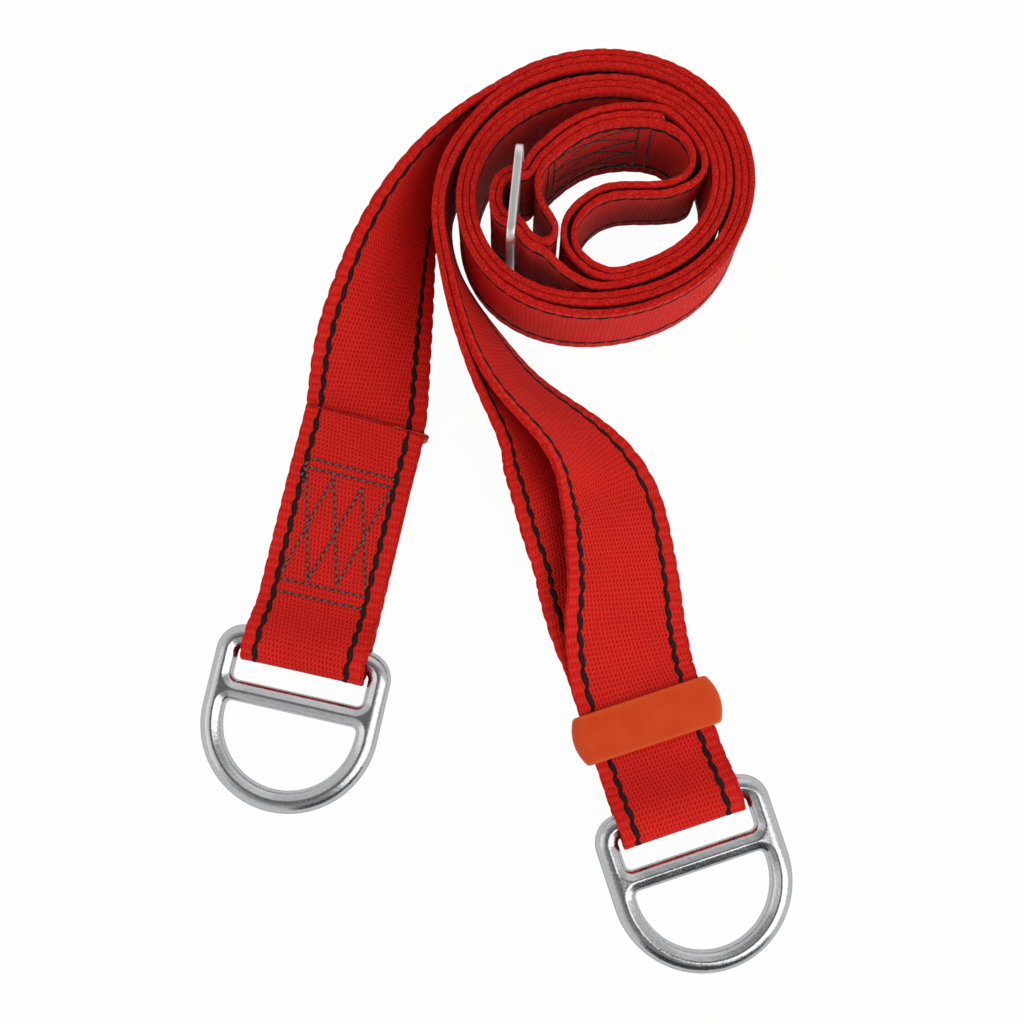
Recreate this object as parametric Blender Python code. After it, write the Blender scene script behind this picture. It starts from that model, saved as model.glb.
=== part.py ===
# Adjustable flat web sling: one red strap wound into a coil on its edge, two forged D-rings,
# a three-bar slide buckle, a rubber keeper and the threads of its two sewn patterns.
import math

import bmesh
import bpy
import numpy as np
from mathutils import Matrix, Vector
from mathutils.bvhtree import BVHTree

MM = 0.001

# Webbing, in metres
WEB_WIDTH = 45 * MM
WEB_THICK = 1.9 * MM
LAYER_GAP = 0.55 * MM      # clear space between layers that lie on each other
PITCH = WEB_THICK + LAYER_GAP

# Coil: an oval spiral of bundles of three layers, seen from above
COIL_CENTRE = (31 * MM, 108.5 * MM)
COIL_RADIUS = 56.4 * MM    # outside of the outermost layer at the left, before the ovality
COIL_LAYERS = 3
TURN_GAP = 1.55 * MM       # clear space from one bundle to the next
COIL_DROP = COIL_LAYERS * PITCH + TURN_GAP
COIL_OVAL = 2.5 * MM
COIL_OVAL_GROWTH = 1.0 * MM
COIL_OVAL_ANGLE = 163
COIL_STEP = 10             # degrees between sections of the strap
COIL_STARTS = (50, 30, 30)  # degrees at which each layer leaves its leg for the spiral
COIL_END = 620
FRONT_SLACK = 1.4 * MM     # the outermost layer bows away from the pair at the front
SLACK_FROM = 205
SLACK_TO = 330

# Forged D-rings
RING_BAR = 8 * MM
CROSSBAR = 7.6 * MM
CROSSBAR_FLARE = 1.5 * MM
RING_SIDE_CLEAR = 1.3 * MM     # webbing edge to the side of the slot
SLOT_HEIGHT = 11.7 * MM
EYE_STRAIGHT = 3.3 * MM        # straight stretch of the eye below the crossbar
SLOT_CORNER = 2 * MM           # inner radius of the slot's upper corners
BAR_CLEAR = 0.5 * MM           # ring bar to the webbing looped round it
LOOP_SLACK = 2 * MM
RAMP = 16 * MM                 # from the bar to where the two layers lie together

# Three-bar slide buckle
PLATE_THICK = 3 * MM
CENTRE_BAR = 11 * MM
BUCKLE_SLOT = 8.5 * MM
END_BAR = 4 * MM
RAIL = 4.5 * MM
BUCKLE_CLEAR = 0.8 * MM        # webbing edge to the end of a slot
FLOOR_CLEAR = 0.2 * MM
PLATE_CORNER = 5 * MM
BUCKLE_SLOT_CORNER = 1 * MM
BUCKLE_PLACE = (1.05 * MM, 103.2 * MM)
BUCKLE_HEADING = 5.6           # degrees clockwise from straight back

# Keeper
KEEPER_LENGTH = 17.5 * MM      # along the strap
KEEPER_WALL = 1.8 * MM
KEEPER_CLEAR = 0.35 * MM
KEEPER_SIDE_CLEAR = 3.2 * MM
KEEPER_PLACE = 31.5 * MM       # from the right ring's bar

# Sewing thread
THREAD = 0.5 * MM
THREAD_CLEAR = 0.4 * MM
STITCH_WIDTH = 32 * MM
STITCH_LENGTH = 49 * MM
EYE_STITCH_LENGTH = 43 * MM
EYE_MARGIN = 2 * MM            # from the end of the sewn layers to the first row
ROW_GAP = 3.6 * MM             # between the two rows at each end of a pattern
STITCH_CROSSES = 3
RING_STITCH_START = 20.7 * MM  # from the left ring's bar
TAIL_LENGTH = 88 * MM          # overlap of the cut end, from the left ring's bar
TAIL_ROOM = 0.3 * MM           # extra space under the tail, which twists with the leg

# Where the legs' right-hand edges meet their rings' bars, with the legs' headings in degrees clockwise from
# straight back. The rings, the keeper and the sewn patterns follow from these edges and the width.
LEFT_EDGE = (-51.26 * MM, -56.084 * MM)
LEFT_HEADING = 12.6
RIGHT_EDGE = (79.284 * MM, -99.231 * MM)
RIGHT_HEADING = -18.1

# The layout is moved so that the part's box is centred on the origin
LAYOUT_SHIFT = (6.5 * MM, 1.2 * MM)

# Heights of the strap above the floor
LEFT_LIFT = THREAD + THREAD_CLEAR + FLOOR_CLEAR
RIGHT_LIFT = KEEPER_WALL + KEEPER_CLEAR
BUCKLE_LIFT = RAIL + BUCKLE_CLEAR + FLOOR_CLEAR
SEWN_ROOM = THREAD + 2 * THREAD_CLEAR - LAYER_GAP

# Hand-chosen route of the strap's lower edge: x and y in mm, then its height as a part of the stretch's lift,
# and on the legs its lean from upright in degrees, positive to the left of the direction of travel.
LEFT_LEG = [(-30.6, 50, 0.55, 73), (-29.8, 77, 0, 50.5), (-29.5, 94, 0, 36), (-28.8, 108, 0, 23),
            (-26.4, 121.5, 0, 10.5), (-18.2, 136, 0, 2.5)]
TO_BUCKLE = [(29, 72.4, 0.15), (22, 74.9, 0.36), (16.2, 78.9, 0.65)]
INNER_TURN = [(58.4, 134.2, 0.18, 0), (61.5, 131.2, 0.07, 0), (64.5, 127.5, 0.02, 0), (66.6, 123.4, 0, 0.4),
              (67.4, 118.9, 0, 1), (66.3, 115.3, 0, 2), (63.5, 113.2, 0, 3.5), (59.2, 112.3, 0, 5.5),
              (54.8, 112, 0, 7), (49.8, 111.9, 0, 7.5), (39.6, 111.4, 0, 7), (31.7, 108.3, 0, 5),
              (26.8, 103.6, 0, 2.5), (24.2, 99.2, 0, 0.8), (22.6, 95.3, 0, 0), (21.7, 91.3, 0, 0),
              (22.2, 87.5, 0, 0), (23.9, 84.2, 0, 0), (26.6, 81.5, 0, 0), (30.4, 79.1, 0, 0)]
RIGHT_LEG_UPPER = [(-20.8, 119.5, 0, 0), (-23.6, 110, 0, 0), (-22.8, 99.5, 0, -1), (-20, 90.7, 0, -3),
                   (-15.2, 82, 0, -7), (-3.4, 65.8, 0, -18), (10.8, 50.1, 0, -25), (24.1, 40.5, 0, -33),
                   (38.5, 29.9, 0, -47), (48.6, 18.2, 0, -56), (54.7, 5.4, 0.11, -59), (58.4, -11.3, 0.39, -63),
                   (61.1, -29.6, 0.74, -70), (62.4, -41, 0.92, -79), (63.8, -49.5, 1.02, -85.4)]
RIGHT_LEG_LOWER = [(56.5, -34.2, 0.56, 83), (48.6, -12.2, 0.19, 74.5), (41.6, 1.3, 0, 65.5), (33, 19, 0, 56.5),
                   (21.9, 35.8, 0, 48.5), (9.7, 46.9, 0, 36), (-4.1, 59.8, 0, 22.5), (-14.1, 71, 0, 12),
                   (-21.5, 84, 0, 5), (-25.6, 97, 0, 2), (-26.2, 110, 0, 0), (-22.8, 121.5, 0, 0)]
OUTER_TURN = [(28, 77.1, 0, 0), (23.6, 80.4, 0, 0), (20.2, 84.3, 0, 0), (18.4, 88.5, 0, 0), (18.1, 93, 0, 0),
              (19.4, 97.6, 0, 0), (21.9, 102.1, 0, -0.8), (25.9, 107.1, 0, -2.5), (31.9, 112.1, 0, -5),
              (39.8, 114.8, 0, -7), (49.7, 115.3, 0, -7.5), (54.8, 115.1, 0, -6.5), (58.1, 115.2, 0, -5),
              (61, 116.2, 0, -3), (63.1, 119.3, 0, -1.2), (62.8, 123.5, 0.04, -0.4), (60.6, 127.2, 0.13, 0),
              (57.2, 129.8, 0.22, 0)]
SEWN = [(53, 131.5, 0.3), (49, 132.2, 0.36), (40, 132, 0.51), (30, 129.6, 0.69), (20, 123.6, 0.87),
        (14.4, 118.4, 0.96), (11, 114.5, 1)]
SLACK_LOOP = [(9.2, 110.2, 1), (9, 105.6, 1), (10.4, 100.8, 1), (13, 96.4, 1), (14.9, 92.6, 1), (14.8, 89.2, 1)]
INTO_BUCKLE = [(12.6, 87, 1), (9.5, 86.9, 1), (6.2, 89.2, 1), (3.6, 92.9, 1)]

# The legs' straight stretches next to the rings: distance from the bar in mm and lean in degrees
LEFT_STRAIGHT = [(30, 88), (50, 84), (70, 82)]
TAIL_LEAN = 81
UPPER_STRAIGHT = [(44.6, -89.8), (41.6, -90), (34, -90), (28, -90), (22, -90)]
LOWER_STRAIGHT = [(28, 90), (40, 90), (49.6, 90), (57.6, 89)]

# Limits on the strap's sections between route points
MAX_TURN = math.radians(16)
MAX_TWIST = math.radians(0.7)
MAX_STEP = 12 * MM


for old in list(bpy.data.objects):
    bpy.data.objects.remove(old, do_unlink=True)


def make_material(name, colour, roughness, metallic):
    material = bpy.data.materials.new(name)
    material.use_nodes = True
    shader = material.node_tree.nodes["Principled BSDF"]
    shader.inputs["Base Color"].default_value = (*colour, 1)
    shader.inputs["Roughness"].default_value = roughness
    shader.inputs["Metallic"].default_value = metallic
    return material


def add_object(name, bm, material):
    bmesh.ops.recalc_face_normals(bm, faces=bm.faces)
    mesh = bpy.data.meshes.new(name)
    bm.to_mesh(mesh)
    bm.free()
    mesh.shade_smooth()
    mesh.set_sharp_from_angle(angle=math.radians(35))
    obj = bpy.data.objects.new(name, mesh)
    obj.data.materials.append(material)
    bpy.context.collection.objects.link(obj)
    return obj


def loft(sections, closed=False):
    # Skin through a row of equal loops, with end caps unless the row closes on itself
    bm = bmesh.new()
    rows = [[bm.verts.new(point) for point in section] for section in sections]
    sides = len(rows[0])
    spans = len(rows) if closed else len(rows) - 1
    for i in range(spans):
        near, far = rows[i], rows[(i + 1) % len(rows)]
        for j in range(sides):
            k = (j + 1) % sides
            bm.faces.new((near[j], near[k], far[k], far[j]))
    if not closed:
        bm.faces.new(rows[0])
        bm.faces.new(rows[-1])
    return bm


def rounded_rectangle(width, height, radius, segments=6):
    points = []
    for quarter, (sx, sy) in enumerate(((1, 1), (-1, 1), (-1, -1), (1, -1))):
        cx = sx * (width / 2 - radius)
        cy = sy * (height / 2 - radius)
        for i in range(segments + 1):
            angle = math.pi / 2 * (quarter + i / segments)
            points.append((cx + radius * math.cos(angle), cy + radius * math.sin(angle)))
    return points


def smooth(knots):
    # Natural cubic spline through the knots, sampled at each knot and between them where it turns
    knots = np.asarray(knots, float)
    run = np.concatenate(([0], np.cumsum(np.hypot(*np.diff(knots[:, :2], axis=0).T))))
    gap = np.diff(run)
    count = len(knots)
    system = np.eye(count)
    right = np.zeros_like(knots)
    slope = np.diff(knots, axis=0) / gap[:, None]
    for i in range(1, count - 1):
        system[i, i - 1:i + 2] = gap[i - 1], 2 * (gap[i - 1] + gap[i]), gap[i]
        right[i] = 6 * (slope[i] - slope[i - 1])
    bend = np.linalg.solve(system, right)
    samples = []
    for i in range(count - 1):
        start = slope[i] - gap[i] * (2 * bend[i] + bend[i + 1]) / 6
        finish = slope[i] + gap[i] * (bend[i] + 2 * bend[i + 1]) / 6
        cosine = start[:2] @ finish[:2] / np.hypot(*start[:2]) / np.hypot(*finish[:2])
        turn = math.acos(np.clip(cosine, -1, 1))
        twist = abs(knots[i + 1, 3] - knots[i, 3])
        parts = max(math.ceil(turn / MAX_TURN), math.ceil(twist / MAX_TWIST), math.ceil(gap[i] / MAX_STEP))
        for t in np.arange(parts) / parts:
            a, b = 1 - t, t
            cubic = ((a ** 3 - a) * bend[i] + (b ** 3 - b) * bend[i + 1]) * gap[i] ** 2 / 6
            samples.append(a * knots[i] + b * knots[i + 1] + cubic)
    samples.append(knots[-1])
    return np.array(samples)


def along(rows):
    # Unit direction of travel in plan at each row
    step = np.gradient(rows[:, :2], axis=0)
    return step / np.linalg.norm(step, axis=1)[:, None]


def offset(rows, distance):
    # The same rows moved sideways in plan, to the left of travel
    moved = rows.copy()
    direction = along(rows)
    moved[:, 0] -= direction[:, 1] * distance
    moved[:, 1] += direction[:, 0] * distance
    return moved


def route(points, lift):
    # Hand-chosen route points, from mm, parts of the lift and degrees to metres and radians
    rows = np.zeros((len(points), 4))
    rows[:, :len(points[0])] = points
    rows[:, :2] *= MM
    rows[:, 2] *= lift
    rows[:, 3] = np.radians(rows[:, 3])
    return rows


def heading_axes(degrees):
    # Direction along a leg, away from its ring, and the direction to its right
    angle = math.radians(degrees)
    forward = np.array([math.sin(angle), math.cos(angle)])
    right = np.array([math.cos(angle), -math.sin(angle)])
    return forward, right


def coil(layer):
    # One layer of the oval spiral; layer 0 is the outermost, and its upper edge bows away from the pair inside it
    rows = []
    for degrees in range(COIL_STARTS[layer], COIL_END + 1, COIL_STEP):
        turn = degrees / 360
        oval = COIL_OVAL + COIL_OVAL_GROWTH * turn
        bow = 0
        if SLACK_FROM < degrees < SLACK_TO:
            bow = FRONT_SLACK * math.sin(math.pi * (degrees - SLACK_FROM) / (SLACK_TO - SLACK_FROM)) ** 2
        radius = COIL_RADIUS - COIL_DROP * turn
        radius += oval * math.cos(2 * math.radians(degrees - COIL_OVAL_ANGLE))
        radius -= WEB_THICK / 2 + layer * PITCH + bow
        angle = math.radians(degrees)
        x = COIL_CENTRE[0] - radius * math.cos(angle)
        y = COIL_CENTRE[1] + radius * math.sin(angle)
        rows.append((x, y, 0, 0 if layer else math.asin(bow / WEB_WIDTH)))
    return np.array(rows)


def ring_place(edge, heading):
    # Middle of a ring's bar, half the webbing's width to the left of the leg's right-hand edge
    return np.array(edge) - heading_axes(heading)[1] * WEB_WIDTH / 2


def leg_start(edge, heading, stations):
    # Right-hand edge of a leg's straight stretch: stations are distance from the bar, lift and lean
    forward = heading_axes(heading)[0]
    rows = []
    for distance, lift, lean in stations:
        rows.append((*(np.array(edge) + forward * distance), lift, math.radians(lean)))
    return np.array(rows)


def strap_frame(rows):
    # Middle of the strap's width and its width direction, from its lower edge, lift and lean
    direction = along(rows)
    lean = rows[:, 3]
    width = np.column_stack((-direction[:, 1] * np.sin(lean), direction[:, 0] * np.sin(lean), np.cos(lean)))
    lower = np.column_stack((rows[:, :2], rows[:, 2] + WEB_THICK / 2 * np.abs(np.sin(lean))))
    return lower + width * WEB_WIDTH / 2, width


def bar_height(lift):
    return lift + WEB_THICK + BAR_CLEAR + RING_BAR / 2


def ring_loop(ring, heading, lift):
    # Half turn of the strap round a ring's bar, from the upper layer to the lower
    forward, right = heading_axes(heading)
    radius = RING_BAR / 2 + BAR_CLEAR + WEB_THICK / 2
    centres = []
    for degrees in range(90, -91, -12):
        angle = math.radians(degrees)
        back = LOOP_SLACK + radius * math.cos(angle)
        plan = ring - forward * back
        centres.append((*plan, bar_height(lift) + radius * math.sin(angle)))
    widths = np.tile((-right[0], -right[1], 0), (len(centres), 1))
    return np.array(centres), widths


def bar_rise(part, pitch):
    # Height of the upper layer over the lower one, from the ring's bar (0) to where they lie together (1)
    top = RING_BAR + 2 * BAR_CLEAR + WEB_THICK
    blend = np.clip(1 - part, 0, 1)
    return pitch + (top - pitch) * (3 * blend ** 2 - 2 * blend ** 3)


# The sewn eye: the layer that shows, its tail behind it and the loop through the buckle
buckle_forward, buckle_right = heading_axes(BUCKLE_HEADING)


def buckle_point(ahead, left):
    plan = np.array(BUCKLE_PLACE) + buckle_forward * ahead - buckle_right * left
    return (*plan, BUCKLE_LIFT, 0)


eye_clear = LAYER_GAP + WEB_THICK / 2
slot_line = CENTRE_BAR / 2 + eye_clear + LAYER_GAP
crown = PLATE_THICK / 2 + eye_clear + 4.5 * LAYER_GAP
half_wrap = [(slot_line, -0.5 * LAYER_GAP), (slot_line - 0.3 * MM, PLATE_THICK / 2),
             (CENTRE_BAR / 2, crown - eye_clear), (CENTRE_BAR / 4, crown - 0.3 * MM)]
wrap = [buckle_point(-a, b) for a, b in half_wrap] + [buckle_point(0, crown)]
wrap += [buckle_point(a, b) for a, b in reversed(half_wrap)]
wrap.append(buckle_point(slot_line + 0.6 * WEB_THICK, -PLATE_THICK / 2 - 1.3 * WEB_THICK))

sewn = smooth(route(SEWN, BUCKLE_LIFT))
tail = offset(sewn, -PITCH)[::-1]
into_buckle = route(INTO_BUCKLE, BUCKLE_LIFT)
through = smooth(np.vstack((into_buckle, wrap, tail)))
room = np.interp(np.arange(len(through)), (len(through) - len(tail) - 4, len(through) - len(tail)), (0, 1))
passing = through.copy()
shifted_near = offset(through, PITCH)
shifted_far = offset(through, PITCH + SEWN_ROOM)
passing[:, :2] = shifted_near[:, :2] + (shifted_far - shifted_near)[:, :2] * room[:, None]
entry = np.argmin(np.hypot(*(through[:, :2] - into_buckle[1, :2]).T))
passing = passing[entry:]

# The strap from the left ring to the right one, then from the right ring to the sewn eye
left_ring = ring_place(LEFT_EDGE, LEFT_HEADING)
right_ring = ring_place(RIGHT_EDGE, RIGHT_HEADING)
ramp_parts = (0, 0.125, 0.25, 0.375, 0.5, 0.75, 1)
left_stations = [(part * RAMP, LEFT_LIFT, 90) for part in ramp_parts]
left_stations += [(distance * MM, LEFT_LIFT, lean) for distance, lean in LEFT_STRAIGHT]
left_stations.append((TAIL_LENGTH, LEFT_LIFT, TAIL_LEAN))
left_start = leg_start(LEFT_EDGE, LEFT_HEADING, left_stations)
upper_lift = RIGHT_LIFT + PITCH
upper_stations = [(distance * MM, upper_lift, lean) for distance, lean in UPPER_STRAIGHT]
upper_stations += [(part * RAMP, RIGHT_LIFT + bar_rise(part, PITCH), -90) for part in ramp_parts[::-1]]
upper_end = leg_start(RIGHT_EDGE, RIGHT_HEADING, upper_stations)
lower_stations = [(0, RIGHT_LIFT, 90), (RAMP, RIGHT_LIFT, 90)]
lower_stations += [(distance * MM, RIGHT_LIFT, lean) for distance, lean in LOWER_STRAIGHT]
lower_start = leg_start(RIGHT_EDGE, RIGHT_HEADING, lower_stations)
first_run = smooth(np.vstack((left_start, route(LEFT_LEG, LEFT_LIFT), coil(0),
                              route(TO_BUCKLE, BUCKLE_LIFT), passing, route(INNER_TURN, BUCKLE_LIFT),
                              coil(2)[::-1], route(RIGHT_LEG_UPPER, upper_lift), upper_end)))
second_run = smooth(np.vstack((lower_start, route(RIGHT_LEG_LOWER, RIGHT_LIFT), coil(1),
                               route(OUTER_TURN, BUCKLE_LIFT), sewn, route(SLACK_LOOP, BUCKLE_LIFT), through)))

first_middle, first_width = strap_frame(first_run)
second_middle, second_width = strap_frame(second_run)

# The cut tail lies on the left leg and rises over the ring's bar
left_forward, left_right = heading_axes(LEFT_HEADING)
from_bar = (first_middle[:, :2] - left_ring) @ left_forward
tail_rows = [i for i in range(len(first_run) // 3) if from_bar[i] <= TAIL_LENGTH + 0.1 * MM][::-1]
tail_travel = np.gradient(first_middle, axis=0)
tail_normal = np.cross(tail_travel, first_width)
tail_normal /= np.linalg.norm(tail_normal, axis=1)[:, None]
rise = bar_rise(from_bar / RAMP, PITCH + TAIL_ROOM)
tail_middle = (first_middle + tail_normal * rise[:, None])[tail_rows]
tail_width = first_width[tail_rows]

left_loop = ring_loop(left_ring, LEFT_HEADING, LEFT_LIFT)
right_loop = ring_loop(right_ring, RIGHT_HEADING, RIGHT_LIFT)
middle = np.vstack((tail_middle, left_loop[0], first_middle, right_loop[0], second_middle))
width = np.vstack((tail_width, left_loop[1], first_width, right_loop[1], second_width))
shift = np.array((*LAYOUT_SHIFT, 0))
middle += shift

travel = np.gradient(middle, axis=0)
normal = np.cross(travel, width)
normal /= np.linalg.norm(normal, axis=1)[:, None]


def least_gap():
    # Closest approach of the strap to itself, from points over its middle surface to that surface
    edges = np.stack((middle - width * WEB_WIDTH / 2, middle + width * WEB_WIDTH / 2), axis=1).reshape(-1, 3)
    spans = [(2 * i, 2 * i + 1, 2 * i + 3, 2 * i + 2) for i in range(len(middle) - 1)]
    tree = BVHTree.FromPolygons(edges.tolist(), spans)
    lengths = np.linalg.norm(np.diff(middle, axis=0), axis=1)
    run = np.concatenate(([0], np.cumsum(lengths)))
    least, where = WEB_WIDTH, None
    for station in np.arange(0, run[-1], WEB_THICK):
        centre = np.array([np.interp(station, run, middle[:, k]) for k in range(3)])
        across = np.array([np.interp(station, run, width[:, k]) for k in range(3)])
        for part in np.linspace(-0.5, 0.5, 13):
            point = centre + across * part * WEB_WIDTH
            for _, _, other, distance in tree.find_nearest_range(point, PITCH + LAYER_GAP):
                if abs(run[other] - station) > 9 * WEB_THICK and distance - WEB_THICK < least:
                    least, where = distance - WEB_THICK, point
    return least, where, run[-1]


gap, place, length = least_gap()
print(f"strap length {length:.3f} m, sections {len(middle)}, least gap to itself {gap / MM:.2f} mm",
      f"at {place[0] / MM:.1f} {place[1] / MM:.1f} {place[2] / MM:.1f}")

half_width = width * WEB_WIDTH / 2
half_thick = normal * WEB_THICK / 2
strap_sections = np.stack((middle + half_width + half_thick, middle + half_width - half_thick,
                           middle - half_width - half_thick, middle - half_width + half_thick), axis=1)
strap_sections[:, :, 2] = np.maximum(strap_sections[:, :, 2], 0)
red = make_material("red_webbing", (0.52, 0.02, 0.02), 0.75, 0)
add_object("webbing", loft(strap_sections), red)


# Forged D-rings, each about its upper bar: x along the bar, y back along the leg
def ring_outline():
    half = WEB_WIDTH / 2 + RING_SIDE_CLEAR + RING_BAR / 2
    corner = SLOT_CORNER + RING_BAR / 2
    eye_centre = -(RING_BAR / 2 + SLOT_HEIGHT + CROSSBAR + EYE_STRAIGHT)
    points = []
    for i in range(7):
        angle = math.pi / 2 * i / 6
        points.append((half - corner + corner * math.sin(angle), -corner + corner * math.cos(angle)))
    for i in range(25):
        angle = math.pi * i / 24
        points.append((half * math.cos(angle), eye_centre - half * math.sin(angle)))
    for i in range(7):
        angle = math.pi / 2 * i / 6
        points.append((-half + corner - corner * math.cos(angle), -corner + corner * math.sin(angle)))
    return np.array(points), half, eye_centre


def bar_section(centre, outward, radius, half_height, sides=12):
    up = np.array((0, 0, half_height))
    angles = 2 * np.pi * (np.arange(sides) + 0.5) / sides
    return [centre + radius * math.cos(a) * outward + math.sin(a) * up for a in angles]


def d_ring(name, place, heading, lift, material):
    outline, half, eye_centre = ring_outline()
    step = np.roll(outline, -1, axis=0) - np.roll(outline, 1, axis=0)
    step /= np.linalg.norm(step, axis=1)[:, None]
    frame = [bar_section(np.array((x, y, 0)), np.array((-t[1], t[0], 0)), RING_BAR / 2, RING_BAR / 2)
             for (x, y), t in zip(outline, step)]
    ring = add_object(name, loft(frame, closed=True), material)
    crossbar_y = -(RING_BAR / 2 + SLOT_HEIGHT + CROSSBAR / 2)
    bars = []
    for part in np.linspace(-1, 1, 13):
        flare = CROSSBAR_FLARE * max(0, (abs(part) - 0.75) / 0.25) ** 2
        centre = np.array((part * half, crossbar_y, 0))
        bars.append(bar_section(centre, np.array((0, 1, 0)), CROSSBAR / 2 + flare, CROSSBAR / 2))
    crossbar = add_object(name + "_crossbar", loft(bars), material)
    crossbar.hide_render = True
    crossbar.display_type = "WIRE"
    union = ring.modifiers.new("crossbar", "BOOLEAN")
    union.operation = "UNION"
    union.solver = "EXACT"
    union.object = crossbar
    reach = half - eye_centre
    drop = math.asin((bar_height(lift) - RING_BAR / 2) / reach)
    turn = Matrix.Rotation(-math.radians(heading), 4, "Z") @ Matrix.Rotation(drop, 4, "X")
    spot = Matrix.Translation((place[0] + LAYOUT_SHIFT[0], place[1] + LAYOUT_SHIFT[1], bar_height(lift)))
    ring.matrix_world = spot @ turn
    crossbar.parent = ring
    print(name, "bar at", [round(v, 5) for v in ring.matrix_world.translation],
          "axis", [round(v, 5) for v in turn.to_3x3() @ Vector((1, 0, 0))])
    return ring


zinc = make_material("zinc_plate", (0.62, 0.63, 0.64), 0.32, 1)
d_ring("left_d_ring", left_ring, LEFT_HEADING, LEFT_LIFT, zinc)
d_ring("right_d_ring", right_ring, RIGHT_HEADING, RIGHT_LIFT, zinc)


# Slide buckle: a plate on edge, x through its thickness, y along it, z up its bars
def plate(name, length, height, corner, thick, material):
    outline = rounded_rectangle(length, height, corner)
    sections = [[(x, y, z) for y, z in outline] for x in (-thick / 2, thick / 2)]
    return add_object(name, loft(sections), material)


nickel = make_material("nickel_plate", (0.66, 0.66, 0.66), 0.25, 1)
plate_length = CENTRE_BAR + 2 * BUCKLE_SLOT + 2 * END_BAR
slot_height = WEB_WIDTH + 2 * BUCKLE_CLEAR
plate_height = slot_height + 2 * RAIL
buckle = plate("slide_buckle", plate_length, plate_height, PLATE_CORNER, PLATE_THICK, nickel)
buckle_plan = np.array(BUCKLE_PLACE) + np.array(LAYOUT_SHIFT)
buckle.matrix_world = (Matrix.Translation((*buckle_plan, FLOOR_CLEAR + plate_height / 2))
                       @ Matrix.Rotation(-math.radians(BUCKLE_HEADING), 4, "Z"))
for side, label in ((-1, "near"), (1, "far")):
    cutter = plate("buckle_slot_" + label, BUCKLE_SLOT, slot_height, BUCKLE_SLOT_CORNER, 2 * PLATE_THICK,
                   nickel)
    cutter.hide_render = True
    cutter.display_type = "WIRE"
    cutter.parent = buckle
    cutter.location.y = side * (CENTRE_BAR + BUCKLE_SLOT) / 2
    cut = buckle.modifiers.new("slot_" + label, "BOOLEAN")
    cut.operation = "DIFFERENCE"
    cut.solver = "EXACT"
    cut.object = cutter
print("slide_buckle bar at", [round(v, 5) for v in buckle.matrix_world.translation])

# Keeper: a flattened tube round both layers of the right leg
orange = make_material("orange_rubber", (0.62, 0.07, 0.015), 0.5, 0)
opening_width = WEB_WIDTH + 2 * KEEPER_SIDE_CLEAR
opening_height = WEB_THICK + PITCH + 2 * KEEPER_CLEAR
keeper_corner = 0.45 * opening_height
inside = rounded_rectangle(opening_width, opening_height, keeper_corner)
outside = rounded_rectangle(opening_width + 2 * KEEPER_WALL, opening_height + 2 * KEEPER_WALL,
                            keeper_corner + KEEPER_WALL)
near, far = -KEEPER_LENGTH / 2, KEEPER_LENGTH / 2
keeper_sections = [[(x, y, z) for x, z in loop]
                   for loop, y in ((outside, near), (outside, far), (inside, far), (inside, near))]
keeper = add_object("keeper", loft(keeper_sections, closed=True), orange)
right_forward, right_right = heading_axes(RIGHT_HEADING)
keeper_plan = right_ring + right_forward * KEEPER_PLACE + np.array(LAYOUT_SHIFT)
keeper.matrix_world = (Matrix.Translation((*keeper_plan, RIGHT_LIFT + (WEB_THICK + PITCH) / 2))
                       @ Matrix.Rotation(-math.radians(RIGHT_HEADING), 4, "Z"))
print("keeper at", [round(v, 5) for v in keeper.matrix_world.translation],
      "slides along", right_forward.round(5))


# Sewn patterns: two rows across each end and a line of crosses between them
def stitch_plan(length):
    # Two threads as part of the width and distance along: the rows with one zigzag, and the other zigzag
    first, last = ROW_GAP, length - ROW_GAP
    high, low = first + 0.35 * ROW_GAP, last - 0.35 * ROW_GAP
    rows = [(0, 0), (1, 0), (1, first), (0, first)]
    crosses = []
    for i in range(STITCH_CROSSES + 1):
        ends = (high, low) if i % 2 == 0 else (low, high)
        rows.append((i / STITCH_CROSSES, ends[0]))
        crosses.append((i / STITCH_CROSSES, ends[1]))
    rows += [(1, last), (0, last), (0, length), (1, length)]
    return rows, crosses


def thread(name, plan, start, rows, side, raised, material):
    # Thread on one face of the sewn layers; rows are the layer's middle, width and outward directions
    centre, span, out = rows
    run = np.concatenate(([0], np.cumsum(np.linalg.norm(np.diff(centre, axis=0), axis=1))))
    track = []
    for (u0, v0), (u1, v1) in zip(plan, plan[1:]):
        steps = max(1, round(math.hypot((u1 - u0) * STITCH_WIDTH, v1 - v0) / (6 * MM)))
        track += [(u0 + (u1 - u0) * t, v0 + (v1 - v0) * t) for t in np.arange(steps) / steps]
    track.append(plan[-1])
    spots, faces = [], []
    for u, v in track:
        base, across, face = (np.array([np.interp(start + v, run, part[:, k]) for k in range(3)])
                              for part in (centre, span, out))
        spots.append(base + across * (u - 0.5) * STITCH_WIDTH + side * face * raised)
        faces.append(side * face)
    step = np.gradient(np.array(spots), axis=0)
    sections = []
    for spot, face, direction in zip(spots, faces, step):
        sideways = np.cross(direction, face)
        sideways *= THREAD / 2 / np.linalg.norm(sideways)
        up = face * THREAD / 2
        sections.append([spot + sideways, spot + up, spot - sideways, spot - up])
    return add_object(name, loft(sections), material)


def stitch(name, length, start, rows, side, material):
    plan_rows, plan_crosses = stitch_plan(length)
    raised = WEB_THICK / 2 + THREAD_CLEAR + THREAD / 2
    sewn_rows = thread(name, plan_rows, start, rows, side, raised, material)
    crosses = thread(name + "_crosses", plan_crosses, start, rows, side, raised + THREAD / 10, material)
    crosses.hide_render = True
    crosses.display_type = "WIRE"
    join = sewn_rows.modifiers.new("crosses", "BOOLEAN")
    join.operation = "UNION"
    join.solver = "EXACT"
    join.object = crosses


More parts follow.
